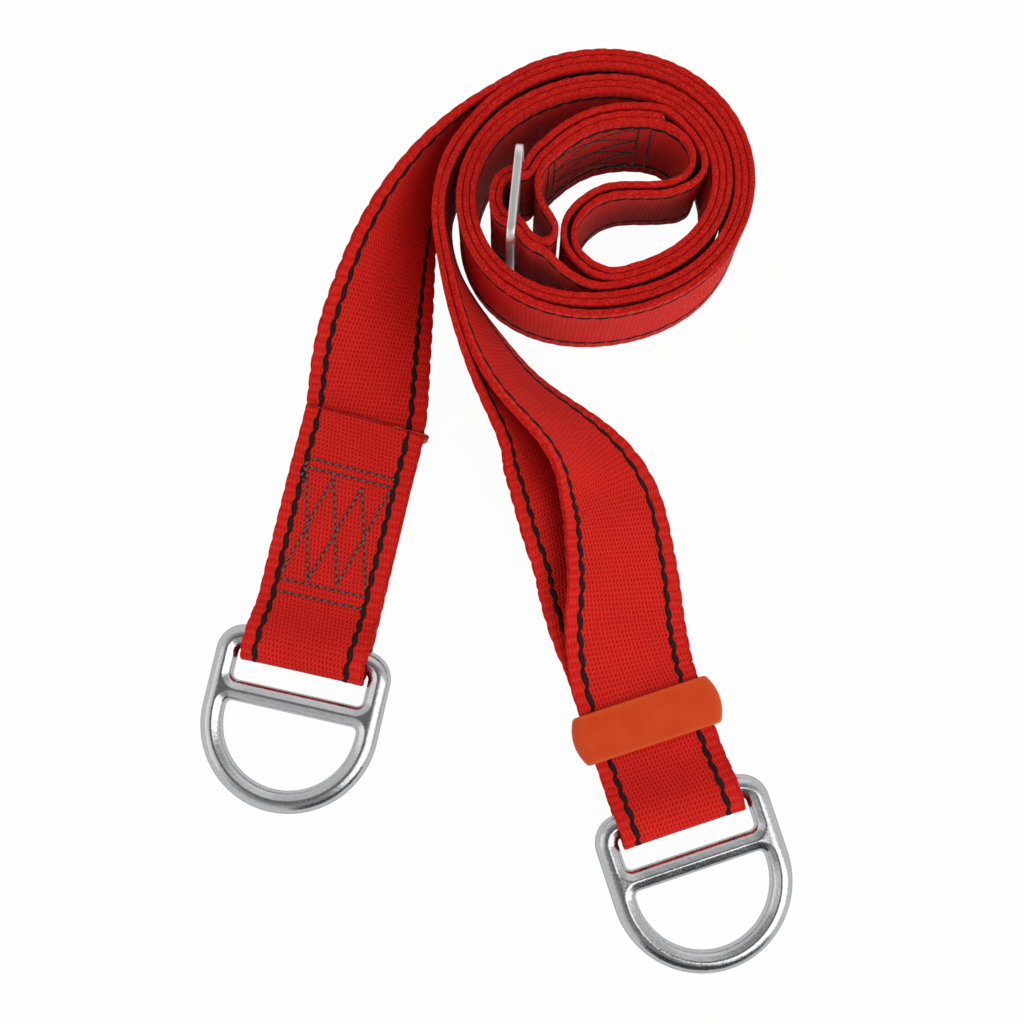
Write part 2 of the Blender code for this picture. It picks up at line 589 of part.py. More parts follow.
grey = make_material("grey_thread", (0.28, 0.27, 0.26), 0.8, 0)
tail_count = len(tail_rows)
tail_face = [part[:tail_count][::-1] for part in (middle, width, normal)]
leg_first = tail_count + len(left_loop[0])
leg_face = [part[leg_first:leg_first + tail_count] for part in (middle, width, normal)]
stitch("ring_stitch_top", STITCH_LENGTH, RING_STITCH_START, tail_face, -1, grey)
stitch("ring_stitch_under", STITCH_LENGTH, RING_STITCH_START, leg_face, -1, grey)

eye_first = len(middle) - len(second_middle)
sewn_first = eye_first + int(np.argmin(np.linalg.norm(second_run[:, :2] - sewn[0, :2], axis=1)))
sewn_last = eye_first + int(np.argmin(np.linalg.norm(second_run[:, :2] - sewn[-1, :2], axis=1)))
sewn_face = [part[sewn_first:sewn_last + 1] for part in (middle, width, normal)]
behind_face = [part[-len(tail):][::-1] for part in (middle, width, normal)]
sewn_run = np.linalg.norm(np.diff(sewn_face[0], axis=0), axis=1).sum()
eye_start = sewn_run - EYE_STITCH_LENGTH - EYE_MARGIN
stitch("buckle_stitch_front", EYE_STITCH_LENGTH, eye_start, sewn_face, -1, grey)
stitch("buckle_stitch_back", EYE_STITCH_LENGTH, eye_start, behind_face, -1, grey)

graph = bpy.context.evaluated_depsgraph_get()
spots = []
for obj in bpy.data.objects:
    if not obj.hide_render:
        spots += [obj.matrix_world @ vertex.co for vertex in obj.evaluated_get(graph).data.vertices]
spots = np.array(spots)
print("box from", spots.min(0).round(5), "to", spots.max(0).round(5))
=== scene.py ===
# Adjustable web sling: the wound red strap with its D-rings, slide buckle, keeper and sewing
import math

import bmesh
import bpy
import numpy as np
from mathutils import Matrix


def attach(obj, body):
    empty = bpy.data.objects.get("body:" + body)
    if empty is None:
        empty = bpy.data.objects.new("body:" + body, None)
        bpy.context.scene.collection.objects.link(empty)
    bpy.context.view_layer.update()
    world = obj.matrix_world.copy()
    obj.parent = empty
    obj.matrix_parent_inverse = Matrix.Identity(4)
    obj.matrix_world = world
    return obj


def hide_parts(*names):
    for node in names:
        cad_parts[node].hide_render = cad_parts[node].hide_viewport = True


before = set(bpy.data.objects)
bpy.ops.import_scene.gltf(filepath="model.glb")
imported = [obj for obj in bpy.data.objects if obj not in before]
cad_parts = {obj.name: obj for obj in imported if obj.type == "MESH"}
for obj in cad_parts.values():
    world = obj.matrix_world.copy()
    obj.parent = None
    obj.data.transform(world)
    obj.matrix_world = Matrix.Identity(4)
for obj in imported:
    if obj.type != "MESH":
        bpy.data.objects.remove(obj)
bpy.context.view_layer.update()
scene = bpy.context.scene
scene.view_settings.view_transform = "Standard"
mm = 0.001  # lengths below are in mm, and become metres when a mesh is made
shift = np.array((6.5, 1.2, 0))  # from the route's own zero to the part's
print("frame loaded with", len(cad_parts), "nodes")

view = {"lens": 52.73, "place": (6.5, -94.7, 544.0), "pitch": 10}
cameraData = bpy.data.cameras.new("photoCamera")
cameraData.lens = view["lens"]
cameraData.sensor_width = 36
cameraData.clip_start = 0.01
camera = bpy.data.objects.new("photoCamera", cameraData)
camera.location = np.array(view["place"]) * mm
camera.rotation_euler = (math.radians(view["pitch"]), 0, 0)
scene.collection.objects.link(camera)
scene.camera = camera


def addPiece(name, spots, faces, material, body, stands=(), merge=False):
    # mesh from an array of points in mm and lists of corners; normals turned outwards
    mesh = bpy.data.meshes.new(name)
    mesh.from_pydata((np.asarray(spots).reshape(-1, 3) * mm).tolist(), [], faces)
    work = bmesh.new()
    work.from_mesh(mesh)
    if merge:
        bmesh.ops.remove_doubles(work, verts=work.verts, dist=2e-6)
    bmesh.ops.recalc_face_normals(work, faces=work.faces)
    work.to_mesh(mesh)
    work.free()
    mesh.shade_smooth()
    mesh.materials.append(material)
    piece = bpy.data.objects.new(name, mesh)
    scene.collection.objects.link(piece)
    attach(piece, body)
    if stands:
        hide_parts(*stands)
    return piece


def gridFaces(rows, columns, closedRows=False, closedColumns=False, first=0):
    # quads of a rows x columns grid of points, numbered row by row; either way may close on itself
    i = np.arange(rows if closedRows else rows - 1)[:, None]
    j = np.arange(columns if closedColumns else columns - 1)[None, :]
    down, side = (i + 1) % rows, (j + 1) % columns
    corners = (i * columns + j, i * columns + side, down * columns + side, down * columns + j)
    return (first + np.stack(corners, -1).reshape(-1, 4)).tolist()


def manyGrids(count, rows, columns):
    # the faces of many equal tubes with closed columns, one after another
    one = np.array(gridFaces(rows, columns, closedColumns=True))
    return (one[None] + (np.arange(count) * rows * columns)[:, None, None]).reshape(-1, 4).tolist()


def keepSpots(piece, name, values):
    # a vector for each point of the mesh, for the material to read
    layer = piece.data.attributes.new(name, "FLOAT_VECTOR", "POINT")
    layer.data.foreach_set("vector", np.ascontiguousarray(values, np.float32).ravel())


def smoothStep(low, high, value):
    part = np.clip((value - low) / (high - low), 0, 1)
    return part * part * (3 - 2 * part)


# shading helpers: a node of a kind, with its inputs in socket order
def node(tree, kind, *inputs, **settings):
    made = tree.nodes.new("ShaderNode" + kind)
    for key, value in settings.items():
        setattr(made, key, value)
    for socket, value in zip(made.inputs, inputs):
        if isinstance(value, bpy.types.NodeSocket):
            tree.links.new(value, socket)
        elif value is not None:
            socket.default_value = value
    return made


def sums(tree, operation, *inputs, clamp=False):
    return node(tree, "Math", *inputs, operation=operation, use_clamp=clamp).outputs[0]


def mixColours(tree, factor, first, second, way="MIX"):
    made = node(tree, "Mix", data_type="RGBA", blend_type=way)
    for index, value in ((0, factor), (6, first), (7, second)):
        if isinstance(value, bpy.types.NodeSocket):
            tree.links.new(value, made.inputs[index])
        else:
            made.inputs[index].default_value = value
    return made.outputs[2]


def spread(tree, value, fromLow, fromHigh, toLow, toHigh):
    return node(tree, "MapRange", value, fromLow, fromHigh, toLow, toHigh).outputs[0]


def newMaterial(name):
    material = bpy.data.materials.new(name)
    material.use_nodes = True
    return material, material.node_tree, material.node_tree.nodes["Principled BSDF"]


def wave(tree, x, y, acrossCycles, alongCycles):
    # cosine of a plane wave, its cycles given per mm across and along
    phase = sums(tree, "MULTIPLY_ADD", x, 2 * math.pi * acrossCycles,
                 sums(tree, "MULTIPLY", y, 2 * math.pi * alongCycles))
    return sums(tree, "COSINE", phase)


def addBump(tree, shader, height, strength, distance):
    bump = node(tree, "Bump", strength, distance)
    tree.links.new(height, bump.inputs["Height"])
    tree.links.new(bump.outputs["Normal"], shader.inputs["Normal"])


# Strap: the route of its lower edge, in plan, with lift and lean, as in the part's source
web = {
    "width": 45, "thick": 1.9, "layerGap": 0.55, "tailLength": 88, "tailLean": 81, "tailRoom": 0.3, "tailSkew": 3.0,
    "station": 0.925,                 # between cross-sections
    "lobe": 6.25, "lobeDepth": 0.55, "knuckleDepth": 0.14, "edgeHalf": 1.1,   # the selvedge: scallops, thickness
    "calm": 0.5, "calmReach": 90,     # shallower scallops near the rings
    "tracers": (17.1, -16.2), "tracerDip": 0.12,
}
pitch = web["thick"] + web["layerGap"]
ring = {
    "bar": 8, "crossbar": 7.6, "sideClear": 1.3, "slotHeight": 11.7, "eyeStraight": 3.3, "slotCorner": 2,
    "barClear": 0.5, "loopSlack": 2, "ramp": 16,
    "slotFillet": 2.2, "eyeFillet": 2, "outerFlank": 4.6, "innerRound": 1.7, "innerWall": 2.2, "innerSlope": 0.5, "crease": 4.42,
}
buckle = {
    "thick": 3, "centreBar": 11, "slot": 8.5, "endBar": 4, "rail": 4.5, "clear": 0.8, "floorClear": 0.2,
    "corner": 5, "slotCorner": 1, "place": (1.05, 103.2), "heading": 5.6, "edgeRound": 0.7,
}
keeper = {
    "length": 17.5, "wall": 1.8, "clear": 0.35, "sideClear": 3.2, "place": 31.5, "rim": 0.8, "endBow": 2.5,
}
thread = {
    "thick": 0.5, "clear": 0.4, "width": 32, "ringLength": 49, "eyeLength": 43, "eyeMargin": 2,
    "ringStart": 20.7, "stitch": 2.7, "radius": 0.44,
}
coilShape = {
    "centre": (31, 108.5), "radius": 56.4, "turnGap": 1.55, "oval": 2.5, "ovalGrowth": 1, "ovalAngle": 163,
    "starts": (50, 30, 30), "end": 620, "step": 10, "slack": 1.4, "slackFrom": 205, "slackTo": 330,
}
legs = {
    "leftEdge": (-51.26, -56.084), "leftHeading": 12.6, "rightEdge": (79.284, -99.231), "rightHeading": -18.1,
    "leftStraight": [(30, 88), (50, 84), (70, 82)],
    "upperStraight": [(44.6, -89.8), (41.6, -90), (34, -90), (28, -90), (22, -90)],
    "lowerStraight": [(28, 90), (40, 90), (49.6, 90), (57.6, 89)],
}
leftLift = thread["thick"] + thread["clear"] + buckle["floorClear"]
rightLift = keeper["wall"] + keeper["clear"]
buckleLift = buckle["rail"] + buckle["clear"] + buckle["floorClear"]
sewnRoom = thread["thick"] + 2 * thread["clear"] - web["layerGap"]

leftLeg = [(-30.6, 50, 0.55, 73), (-29.8, 77, 0, 50.5), (-29.5, 94, 0, 36), (-28.8, 108, 0, 23),
           (-26.4, 121.5, 0, 10.5), (-18.2, 136, 0, 2.5)]
toBuckle = [(29, 72.4, 0.15), (22, 74.9, 0.36), (16.2, 78.9, 0.65)]
innerTurn = [(58.4, 134.2, 0.18, 0), (61.5, 131.2, 0.07, 0), (64.5, 127.5, 0.02, 0), (66.6, 123.4, 0, 0.4),
             (67.4, 118.9, 0, 1), (66.3, 115.3, 0, 2), (63.5, 113.2, 0, 3.5), (59.2, 112.3, 0, 5.5),
             (54.8, 112, 0, 7), (49.8, 111.9, 0, 7.5), (39.6, 111.4, 0, 7), (31.7, 108.3, 0, 5),
             (26.8, 103.6, 0, 2.5), (24.2, 99.2, 0, 0.8), (22.6, 95.3, 0, 0), (21.7, 91.3, 0, 0),
             (22.2, 87.5, 0, 0), (23.9, 84.2, 0, 0), (26.6, 81.5, 0, 0), (30.4, 79.1, 0, 0)]
rightLegUpper = [(-20.8, 119.5, 0, 0), (-23.6, 110, 0, -0.4), (-22.8, 99.5, 0, -2.8), (-20, 90.7, 0, -5.4),
                 (-15.2, 82, 0, -10), (-3.4, 65.8, 0, -21.1), (10.8, 50.1, 0, -29.5), (24.1, 40.5, 0, -36),
                 (38.5, 29.9, 0, -48), (48.6, 18.2, 0, -56), (54.7, 5.4, 0.11, -59), (58.4, -11.3, 0.39, -63),
                 (61.1, -29.6, 0.74, -70), (62.4, -41, 0.92, -79), (63.8, -49.5, 1.02, -85.4)]
rightLegLower = [(56.5, -34.2, 0.56, 83), (48.6, -12.2, 0.19, 74.5), (41.6, 1.3, 0, 65.5), (33, 19, 0, 56.5),
                 (21.9, 35.8, 0, 48.5), (9.7, 46.9, 0, 36), (-4.1, 59.8, 0, 22.5), (-14.1, 71, 0, 12),
                 (-21.5, 84, 0, 5), (-25.6, 97, 0, 2), (-26.2, 110, 0, 0), (-22.8, 121.5, 0, 0)]
outerTurn = [(28, 77.1, 0, 0), (23.6, 80.4, 0, 0), (20.2, 84.3, 0, 0), (18.4, 88.5, 0, 0), (18.1, 93, 0, 0),
             (19.4, 97.6, 0, 0), (21.9, 102.1, 0, -0.8), (25.9, 107.1, 0, -2.5), (31.9, 112.1, 0, -5),
             (39.8, 114.8, 0, -7), (49.7, 115.3, 0, -7.5), (54.8, 115.1, 0, -6.5), (58.1, 115.2, 0, -5),
             (61, 116.2, 0, -3), (63.1, 119.3, 0, -1.2), (62.8, 123.5, 0.04, -0.4), (60.6, 127.2, 0.13, 0),
             (57.2, 129.8, 0.22, 0)]
sewnEye = [(53, 131.5, 0.3), (49, 132.2, 0.36), (40, 132, 0.51), (30, 129.6, 0.69), (20, 123.6, 0.87),
           (14.4, 118.4, 0.96), (11, 114.5, 1)]
slackLoop = [(9.2, 110.2, 1), (9, 105.6, 1), (10.4, 100.8, 1), (13, 96.4, 1), (14.9, 92.6, 1), (14.8, 89.2, 1)]
intoBuckle = [(12.6, 87, 1), (9.5, 86.9, 1), (6.2, 89.2, 1), (3.6, 92.9, 1)]


def splineRows(knots, step=None):
    # natural cubic spline over the knots' distance in plan; finer where it turns or twists, or at an even step
    knots = np.asarray(knots, float)
    gap = np.hypot(*np.diff(knots[:, :2], axis=0).T)
    slope = np.diff(knots, axis=0) / gap[:, None]
    inner = np.arange(1, len(knots) - 1)
    system = np.eye(len(knots))
    system[inner, inner - 1] = gap[:-1]
    system[inner, inner] = 2 * (gap[:-1] + gap[1:])
    system[inner, inner + 1] = gap[1:]
    pull = np.zeros_like(knots)
    pull[1:-1] = 6 * np.diff(slope, axis=0)
    bend = np.linalg.solve(system, pull)
    if step is None:
        start = (slope - gap[:, None] * (2 * bend[:-1] + bend[1:]) / 6)[:, :2]
        finish = (slope + gap[:, None] * (bend[:-1] + 2 * bend[1:]) / 6)[:, :2]
        cosine = (start * finish).sum(1) / np.linalg.norm(start, axis=1) / np.linalg.norm(finish, axis=1)
        turn = np.degrees(np.arccos(np.clip(cosine, -1, 1)))
        twist = np.degrees(np.abs(np.diff(knots[:, 3])))
        parts = np.max((np.ceil(turn / 16), np.ceil(twist / 0.7), np.ceil(gap / 12)), axis=0)
    else:
        parts = np.ceil(gap / step)
    parts = np.maximum(parts, 1).astype(int)
    span = np.repeat(np.arange(len(gap)), parts)
    b = ((np.arange(parts.sum()) - np.repeat(np.cumsum(parts) - parts, parts)) / parts[span])[:, None]
    a = 1 - b
    cubic = ((a ** 3 - a) * bend[span] + (b ** 3 - b) * bend[span + 1]) * gap[span, None] ** 2 / 6
    return np.vstack((a * knots[span] + b * knots[span + 1] + cubic, knots[-1]))


def planWay(rows):
    step = np.gradient(rows[:, :2], axis=0)
    return step / np.linalg.norm(step, axis=1)[:, None]


def sideways(rows, distance):
    # the rows moved to the left of travel
    moved, way = rows.copy(), planWay(rows)
    moved[:, 0] -= way[:, 1] * distance
    moved[:, 1] += way[:, 0] * distance
    return moved


def routeRows(points, lift):
    rows = np.zeros((len(points), 4))
    rows[:, :len(points[0])] = points
    rows[:, 2] *= lift
    rows[:, 3] = np.radians(rows[:, 3])
    return rows


def headingWays(degrees):
    # along a leg, away from its ring, and to its right
    angle = math.radians(degrees)
    return np.array([math.sin(angle), math.cos(angle)]), np.array([math.cos(angle), -math.sin(angle)])


def coilRows(layer):
    # oval spiral: the radius falls evenly with the angle, plus an oval that swells twice a turn; at the front it
    # bows in as a squared sine, where the outermost layer keeps its upper edge out by leaning
    degrees = np.arange(coilShape["starts"][layer], coilShape["end"] + 1, coilShape["step"]).astype(float)
    turn, angle = degrees / 360, np.radians(degrees)
    oval = coilShape["oval"] + coilShape["ovalGrowth"] * turn
    part = (degrees - coilShape["slackFrom"]) / (coilShape["slackTo"] - coilShape["slackFrom"])
    bow = coilShape["slack"] * np.sin(np.pi * np.clip(part, 0, 1)) ** 2
    radius = coilShape["radius"] - (3 * pitch + coilShape["turnGap"]) * turn - bow
    radius += oval * np.cos(2 * (angle - math.radians(coilShape["ovalAngle"]))) - web["thick"] / 2 - layer * pitch
    lean = 0 * bow if layer else np.arcsin(bow / web["width"])
    plan = (coilShape["centre"][0] - radius * np.cos(angle), coilShape["centre"][1] + radius * np.sin(angle))
    return np.column_stack((*plan, 0 * bow, lean))


def legRows(edge, heading, stations):
    distance, lift, lean = np.array(stations, float).T
    plan = np.array(edge) + distance[:, None] * headingWays(heading)[0]
    return np.column_stack((plan, lift, np.radians(lean)))


def strapWays(rows):
    # middle of the width and the width direction, from the lower edge, its lift and its lean
    way, lean = planWay(rows), rows[:, 3]
    width = np.column_stack((-way[:, 1] * np.sin(lean), way[:, 0] * np.sin(lean), np.cos(lean)))
    lower = np.column_stack((rows[:, :2], rows[:, 2] + web["thick"] / 2 * np.abs(np.sin(lean))))
    return lower + width * web["width"] / 2, width


def barHeight(lift):
    return lift + web["thick"] + ring["barClear"] + ring["bar"] / 2


def ringLoop(place, heading, lift):
    # half turn about a ring's bar, from the upper layer to the lower
    forward, right = headingWays(heading)
    radius = ring["bar"] / 2 + ring["barClear"] + web["thick"] / 2
    angle = np.radians(np.arange(90, -91, -4))
    plan = place - (ring["loopSlack"] + radius * np.cos(angle))[:, None] * forward
    centres = np.column_stack((plan, barHeight(lift) + radius * np.sin(angle)))
    return centres, np.tile((-right[0], -right[1], 0), (len(angle), 1))


def barRise(part, together):
    # height of the upper layer over the lower, from the ring's bar to where they lie together
    top = ring["bar"] + 2 * ring["barClear"] + web["thick"]
    blend = np.clip(1 - np.asarray(part), 0, 1)
    return together + (top - together) * (3 * blend ** 2 - 2 * blend ** 3)


buckleForward, buckleRight = headingWays(buckle["heading"])
eyeClear = web["layerGap"] + web["thick"] / 2
slotLine = buckle["centreBar"] / 2 + eyeClear + web["layerGap"]
crown = buckle["thick"] / 2 + eyeClear + 4.5 * web["layerGap"]
halfWrap = [(slotLine, -0.5 * web["layerGap"]), (slotLine - 0.3, buckle["thick"] / 2),
            (buckle["centreBar"] / 2, crown - eyeClear), (buckle["centreBar"] / 4, crown - 0.3)]
wrap = np.array([(-a, b) for a, b in halfWrap] + [(0, crown)] + halfWrap[::-1]
                + [(slotLine + 0.6 * web["thick"], -buckle["thick"] / 2 - 1.3 * web["thick"])])
wrapPlan = np.array(buckle["place"]) + wrap[:, :1] * buckleForward - wrap[:, 1:] * buckleRight
wrapRows = np.column_stack((wrapPlan, np.full(len(wrap), buckleLift), np.zeros(len(wrap))))

sewn = splineRows(routeRows(sewnEye, buckleLift))
eyeTail = sideways(sewn, -pitch)[::-1]
entryRows = routeRows(intoBuckle, buckleLift)
through = splineRows(np.vstack((entryRows, wrapRows, eyeTail)))
lastFree = len(through) - len(eyeTail)
room = np.interp(np.arange(len(through)), (lastFree - 4, lastFree), (0, 1))
near, far = sideways(through, pitch), sideways(through, pitch + sewnRoom)
passing = through.copy()
passing[:, :2] = near[:, :2] + (far - near)[:, :2] * room[:, None]
passing = passing[np.argmin(np.hypot(*(through[:, :2] - entryRows[1, :2]).T)):]

rampParts = (0, 0.125, 0.25, 0.375, 0.5, 0.75, 1)
leftStations = [(part * ring["ramp"], leftLift, 90) for part in rampParts]
leftStations += [(distance, leftLift, lean) for distance, lean in legs["leftStraight"]]
leftStations.append((web["tailLength"], leftLift, web["tailLean"]))
upperLift = rightLift + pitch
upperStations = [(distance, upperLift, lean) for distance, lean in legs["upperStraight"]]
upperStations += [(part * ring["ramp"], rightLift + barRise(part, pitch), -90) for part in rampParts[::-1]]
lowerStations = [(0, rightLift, 90), (ring["ramp"], rightLift, 90)]
lowerStations += [(distance, rightLift, lean) for distance, lean in legs["lowerStraight"]]
leftForward, leftRight = headingWays(legs["leftHeading"])
rightForward, rightRight = headingWays(legs["rightHeading"])
leftRing = np.array(legs["leftEdge"]) - leftRight * web["width"] / 2
rightRing = np.array(legs["rightEdge"]) - rightRight * web["width"] / 2

firstRun = splineRows(np.vstack((
    legRows(legs["leftEdge"], legs["leftHeading"], leftStations), routeRows(leftLeg, leftLift), coilRows(0),
    routeRows(toBuckle, buckleLift), passing, routeRows(innerTurn, buckleLift), coilRows(2)[::-1],
    routeRows(rightLegUpper, upperLift), legRows(legs["rightEdge"], legs["rightHeading"], upperStations))), 0.4)
secondRun = splineRows(np.vstack((
    legRows(legs["rightEdge"], legs["rightHeading"], lowerStations), routeRows(rightLegLower, rightLift),
    coilRows(1), routeRows(outerTurn, buckleLift), sewn, routeRows(slackLoop, buckleLift), through)), 0.4)
firstMiddle, firstWidth = strapWays(firstRun)
secondMiddle, secondWidth = strapWays(secondRun)

# the cut tail lies on the left leg and rises over the ring's bar
fromBar = (firstMiddle[:, :2] - leftRing) @ leftForward
onTail = np.flatnonzero(fromBar[:len(firstRun) // 3] <= web["tailLength"] + 0.1)[::-1]
tailNormal = np.cross(np.gradient(firstMiddle, axis=0), firstWidth)
tailNormal /= np.linalg.norm(tailNormal, axis=1)[:, None]
rise = barRise(fromBar / ring["ramp"], pitch + web["tailRoom"])
tailMiddle = (firstMiddle + tailNormal * rise[:, None])[onTail]
leftLoop = ringLoop(leftRing, legs["leftHeading"], leftLift)
rightLoop = ringLoop(rightRing, legs["rightHeading"], rightLift)
middle = np.vstack((tailMiddle, leftLoop[0], firstMiddle, rightLoop[0], secondMiddle)) + shift
width = np.vstack((firstWidth[onTail], leftLoop[1], firstWidth, rightLoop[1], secondWidth))
joints = np.cumsum([len(tailMiddle), len(leftLoop[0]), len(firstMiddle), len(rightLoop[0])])

steps = np.linalg.norm(np.diff(middle, axis=0), axis=1)
rowRun = np.concatenate(([0], np.cumsum(steps)))
strapLength = rowRun[-1]
strapRun = np.linspace(0, strapLength, math.ceil(strapLength / web["station"]) + 1)
strapMiddle = np.column_stack([np.interp(strapRun, rowRun, middle[:, k]) for k in range(3)])
strapWidth = np.column_stack([np.interp(strapRun, rowRun, width[:, k]) for k in range(3)])
strapWidth /= np.linalg.norm(strapWidth, axis=1)[:, None]
strapNormal = np.cross(np.gradient(strapMiddle, axis=0), strapWidth)
strapNormal /= np.linalg.norm(strapNormal, axis=1)[:, None]
print("strap laid out,", round(strapLength), "mm long,", len(strapRun), "sections")


def strapSpot(run, across, out):
    # a point of the strap: its middle line, plus across x its width direction, plus out x its face normal
    run, across, out = np.broadcast_arrays(run, across, out)
    ways = [np.stack([np.interp(run, strapRun, part[:, k]) for k in range(3)], -1)
            for part in (strapMiddle, strapWidth, strapNormal)]
    return ways[0] + ways[1] * across[..., None] + ways[2] * out[..., None]


def tailCut(across):
    # how far the tail's slanted cut is set back, from the left edge to the right
    return web["tailSkew"] * (0.5 - across / web["width"])


def webbingMaterial():
    # woven polyester: a slanted lattice of pits, where three cosine waves meet, shallower in the edge bands; its colour
    # paints shade into the pits and a paler, whiter highlight on the yarn crowns
    material, tree, shader = newMaterial("redWebbing")
    spot = node(tree, "Attribute", attribute_name="weaveSpot")
    x, y, _ = node(tree, "SeparateXYZ", spot.outputs["Vector"]).outputs
    wander = node(tree, "TexNoise", spot.outputs["Vector"], None, 0.3, 2.0).outputs[0]
    x = sums(tree, "ADD", x, spread(tree, wander, 0, 1, -0.3, 0.3))
    y = sums(tree, "ADD", y, spread(tree, wander, 0, 1, 0.45, -0.45))
    yarn, pick = wave(tree, x, y, 0.715, 0.12), wave(tree, x, y, 0.01, 0.61)
    pits = sums(tree, "MULTIPLY_ADD", pick, 0.5, yarn)
    pits = sums(tree, "MULTIPLY_ADD", wave(tree, x, y, -0.705, 0.49), 0.85, pits)
    fromMid = sums(tree, "ABSOLUTE", sums(tree, "SUBTRACT", x, 0.45))
    pits = sums(tree, "MULTIPLY", pits, spread(tree, fromMid, 16.6, 17.8, 1, 0.55))
    # the edge band's knuckles: a wave that goes into the bump and also paints a light centre on each knuckle and shade
    # between them
    knuckle = sums(tree, "MULTIPLY", wave(tree, x, y, 0.0, 2 / web["lobe"]), spread(tree, fromMid, 17.4, 18.2, 0, 0.75))
    pits = sums(tree, "ADD", pits, knuckle)
    specks = node(tree, "TexNoise", spot.outputs["Vector"], None, 1.5, 2.0).outputs[0]
    pits = node(tree, "Mix", spread(tree, fromMid, 21.3, 21.9, 0, 1), None, pits,
                spread(tree, specks, 0.35, 0.65, -1.5, 2.2)).outputs[0]
    # the weave's own pattern, coloured as painted light: dark red is painted shade in the pits, and paler red with more
    # green and blue is a painted highlight on the crowns
    ramp = node(tree, "ValToRGB", spread(tree, pits, -1.5, 2.6, 1, 0))
    stops = ramp.color_ramp.elements
    stops[0].position, stops[0].color = 0.0, (0.57, 0.006, 0.005, 1)
    stops[1].position, stops[1].color = 1.0, (0.78, 0.036, 0.027, 1)
    stops.new(0.55).color = (0.71, 0.016, 0.011, 1)
    blotch = node(tree, "TexNoise", spot.outputs["Vector"], None, 0.06, 3.0).outputs[0]
    tone = spread(tree, blotch, 0.25, 0.75, 0.92, 1.05)
    red = mixColours(tree, 1.0, ramp.outputs[0], node(tree, "CombineColor", tone, tone, tone).outputs[0], "MULTIPLY")
    lines = [spread(tree, sums(tree, "ABSOLUTE", sums(tree, "SUBTRACT", x, place)), 0.35, 0.7, 1, 0)
             for place in web["tracers"]]
    dark = mixColours(tree, sums(tree, "MAXIMUM", *lines), red, (0.022, 0.006, 0.006, 1))
    tree.links.new(dark, shader.inputs["Base Color"])
    tree.links.new(spread(tree, pits, -1.5, 2.6, 0.5, 0.85), shader.inputs["Roughness"])
    shader.inputs["Specular IOR Level"].default_value = 0.03
    shader.inputs["Sheen Weight"].default_value = 0.1
    shader.inputs["Sheen Roughness"].default_value = 0.35
    shader.inputs["Sheen Tint"].default_value = (1, 0.3, 0.25, 1)
    addBump(tree, shader, sums(tree, "MULTIPLY", pits, -1.0), 0.8, 0.00013)
    return material


def strapSection():
    # cross-section across and out: two faces with a dip at each tracer, and two blunt edges, a flat super-ellipse
    left, right = web["tracers"]
    edge, half, lip = web["width"] / 2 - web["thick"] / 2, web["thick"] / 2, web["edgeHalf"]
    faceAcross = np.array([edge, 19.5, left, 14.6, 0.45, -13.7, right, -18.9, -edge])
    faceOut = np.array([lip, 0.5 * (half + lip), half - web["tracerDip"], 0.98 * half, 0.95 * half, 0.98 * half,
                        half - web["tracerDip"], 0.5 * (half + lip), lip])
    turn = np.radians([66, 45, 22, 0, -22, -45, -66])
    bulge = half * np.cos(turn) ** 0.45
    rise = lip * np.sign(turn) * np.abs(np.sin(turn)) ** 0.45
    across = np.concatenate((faceAcross, -edge - bulge, faceAcross[::-1], edge + bulge))
    out = np.concatenate((faceOut, rise, -faceOut[::-1], -rise))
    arc = half * (math.pi / 2 - np.abs(turn))
    weave = np.concatenate((faceAcross, -edge - arc, faceAcross[::-1], edge + arc))
    return across, out, weave


sectionAcross, sectionOut, sectionWeave = strapSection()
columns = len(sectionAcross)
lobeWeight = np.clip((np.abs(sectionAcross) - 19) / 3, 0, 1) * np.sign(sectionAcross)
lobePhase = strapRun[:, None] / web["lobe"] + 0.5 * (sectionAcross > 0) + 0.12 * sectionOut + 0.25
nearRing = np.exp(-((strapRun[:, None] - rowRun[joints[[0, 2]]]) / web["calmReach"]) ** 2).max(axis=1)
lobes = web["lobeDepth"] * (1 - web["calm"] * nearRing[:, None]) * (1 - np.abs(np.sin(np.pi * lobePhase)))
lobes += web["knuckleDepth"] * (1 - np.abs(np.sin(2 * np.pi * lobePhase)))
across = sectionAcross - lobeWeight * lobes
cutBack = tailCut(across) * np.maximum(1 - strapRun[:, None] / 16, 0)
spots = strapSpot(strapRun[:, None] + cutBack, across, np.broadcast_to(sectionOut, across.shape))
spots[..., 2] = np.maximum(spots[..., 2], 0)
stations = len(strapRun)
faces = gridFaces(stations, columns, closedColumns=True)
ends = [list(range(columns)), list(range((stations - 1) * columns, stations * columns))]
webbing = addPiece("webbing_strap", spots, faces + ends, webbingMaterial(), "strap", ("webbing",))
spotRun = np.repeat(strapRun[:, None], columns, axis=1)
keepSpots(webbing, "weaveSpot", np.stack((np.broadcast_to(sectionWeave, spotRun.shape), spotRun,
                                          np.broadcast_to(sectionOut, spotRun.shape)), -1))

